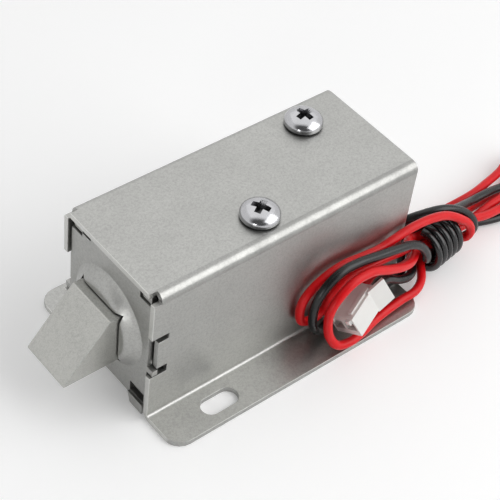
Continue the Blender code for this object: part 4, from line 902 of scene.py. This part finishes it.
def spring_line(coil):
    """The middle line of the return spring, with closed end turns, inside its node's box."""
    low, high = (Vector(corner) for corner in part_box("return_spring"))
    wire = coil.spring_wire
    first, last = low.x + wire / 2, high.x - wire / 2
    radius = (high.y - low.y - wire) / 2
    centre = (low.z + high.z) / 2
    closed = wire * SPRING_CLOSED
    open_turns = coil.spring_turns - 2
    pitch = (last - first - 2 * closed) / open_turns
    points = []
    for i in range(int(coil.spring_turns * SPRING_STEPS) + 1):
        turns = i / SPRING_STEPS
        along = (first + min(turns, 1) * closed + max(turns - coil.spring_turns + 1, 0) * closed
                 + min(max(turns - 1, 0), open_turns) * pitch)
        angle = 2 * math.pi * turns
        points.append((along, radius * math.cos(angle), centre + radius * math.sin(angle)))
    return points


class LOCK_OT_spring(Operator):
    """Wind the return spring, in one fixed shape; the real spring flattens as the bolt goes in"""

    bl_idname = "lock.spring"
    bl_label = "Return spring"

    def execute(self, context):
        coil = context.scene.lock_coil
        wound = round_wire("wound", spring_line(coil), coil.spring_wire)
        graph = context.evaluated_depsgraph_get()
        mesh = bpy.data.meshes.new_from_object(wound.evaluated_get(graph))
        bpy.data.objects.remove(wound)
        spring = link("spring_coils", mesh)
        coat(spring, drawn_metal("spring_wire", coil.spring_steel, roughness=0.25))
        stand_in(spring, "spring_steel", "return_spring")
        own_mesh(spring)
        return {"FINISHED"}


# Stage

SENSOR = 36                          # millimetres
NEAREST = 0.01                       # metres from the camera at which it starts to see
DIM_SIDE = (-0.50, -0.55, 0.67)      # the way to the dim side of the studio, behind the camera
DIM_START = 0.62                     # cosine of the angle from DIM_SIDE where the dimming starts
DIM_FULL = 0.90                      # and where it is full
LAMPS = {                            # place, and side of the square lamp
    "key": (Vector((0.30, -0.385, 0.38)), 0.60),
    "over": (Vector((0.25, 0.25, 0.75)), 1.2),
    "left": (Vector((-0.50, -0.27, 0.16)), 0.12),
}


class LOCK_OT_stage(Operator):
    """Lay the floor and set the lamps, the background and the camera"""

    bl_idname = "lock.stage"
    bl_label = "Stage"

    def execute(self, context):
        stage = context.scene.lock_stage
        lay_floor(stage)
        light_scene(context.scene, stage)
        place_camera(context.scene, stage)
        context.scene.view_settings.view_transform = "Standard"
        return {"FINISHED"}


def lay_floor(stage):
    """A pale floor that looks white from the camera and in reflections, and keeps its shadows."""
    reach = stage.floor_half
    mesh = bpy.data.meshes.new("floor")
    corners = [(-reach, -reach, 0), (reach, -reach, 0), (reach, reach, 0), (-reach, reach, 0)]
    mesh.from_pydata(corners, [], [(0, 1, 2, 3)])
    floor = link("floor", mesh)
    made, f = material("pale_floor")
    plain = {"Base Color": stage.floor, "Roughness": 0.9, "Specular IOR Level": 0.1}
    glow = {"Emission Color": (1.0, 1.0, 1.0), "Emission Strength": stage.floor_lift}
    lifted = {**plain, **glow}
    both = [f.node("ShaderNodeBsdfPrincipled", {}, sockets) for sockets in (plain, lifted)]
    shown = f.node("ShaderNodeMixShader", {}, {0: f.direct_rays(), 1: both[0], 2: both[1]})
    f.node("ShaderNodeOutputMaterial", {}, {"Surface": shown})
    mesh.materials.append(made)


def light_scene(scene, stage):
    """A soft white sky that is dim behind the camera in reflections, and three square lamps."""
    world = bpy.data.worlds.new("studio")
    scene.world = world
    f = Finish(world)
    seen = f.node("ShaderNodeLightPath", output="Is Camera Ray")
    way = f.node("ShaderNodeTexCoord", output="Generated")
    towards = f.vector("DOT_PRODUCT", way, DIM_SIDE, "Value")
    dim = f.ramp(towards, DIM_START, DIM_FULL) * stage.dim_side * (1.0 - seen)
    strength = (stage.ambient + f.direct_rays() * (1.0 - stage.ambient)) * (1.0 - dim)
    sky = f.node("ShaderNodeBackground", {}, {"Color": (1.0, 1.0, 1.0), "Strength": strength})
    f.node("ShaderNodeOutputWorld", {}, {"Surface": sky})
    for name, (place, side) in LAMPS.items():
        add_lamp(name + "_lamp", place, side, getattr(stage, name + "_power"))


def add_lamp(name, place, side, power):
    """A square lamp that faces the origin."""
    lamp = bpy.data.lights.new(name, "AREA")
    lamp.energy = power
    lamp.size = side
    holder = bpy.data.objects.new(name, lamp)
    holder.location = place
    holder.rotation_euler = (-place).to_track_quat("-Z", "Y").to_euler()
    bpy.context.scene.collection.objects.link(holder)


def place_camera(scene, stage):
    look = Vector(stage.camera_look).normalized()
    right = Vector(stage.camera_right).normalized()
    up = right.cross(look)
    turn = Matrix((right, up, -look)).transposed().to_4x4()
    lens = bpy.data.cameras.new("photo_view")
    lens.lens = stage.lens
    lens.sensor_width = SENSOR
    lens.clip_start = NEAREST
    holder = bpy.data.objects.new("photo_view", lens)
    holder.matrix_world = Matrix.Translation(Vector(stage.camera_place)) @ turn
    scene.collection.objects.link(holder)
    scene.camera = holder


class LOCK_PT_panel(Panel):
    """Lists the lock's pieces and their settings"""

    bl_label = "Solenoid lock"
    bl_idname = "LOCK_PT_panel"
    bl_space_type = "VIEW_3D"
    bl_region_type = "UI"
    bl_category = "Lock"

    def draw(self, context):
        for operator in STEPS:
            self.layout.operator(operator.bl_idname)
        for group_name in GROUPS:
            group = getattr(context.scene, group_name)
            box = self.layout.box()
            for name in group.__annotations__:
                box.prop(group, name)


STEPS = (
    LOCK_OT_stage,
    LOCK_OT_harness,
    LOCK_OT_case,
    LOCK_OT_bolt,
    LOCK_OT_screws,
    LOCK_OT_coil,
    LOCK_OT_spring,
)
GROUPS = {
    "lock_steel": SteelSettings,
    "lock_coil": CoilSettings,
    "lock_harness": HarnessSettings,
    "lock_stage": StageSettings,
}
CLASSES = (*GROUPS.values(), *STEPS, LOCK_PT_panel)


def register():
    for made in CLASSES:
        bpy.utils.register_class(made)
    for name, group in GROUPS.items():
        setattr(bpy.types.Scene, name, PointerProperty(type=group))


def unregister():
    for name in GROUPS:
        delattr(bpy.types.Scene, name)
    for made in reversed(CLASSES):
        bpy.utils.unregister_class(made)


def main():
    register()
    for step in STEPS:
        area, name = step.bl_idname.split(".")
        getattr(getattr(bpy.ops, area), name)()


if __name__ == "__main__":
    main()
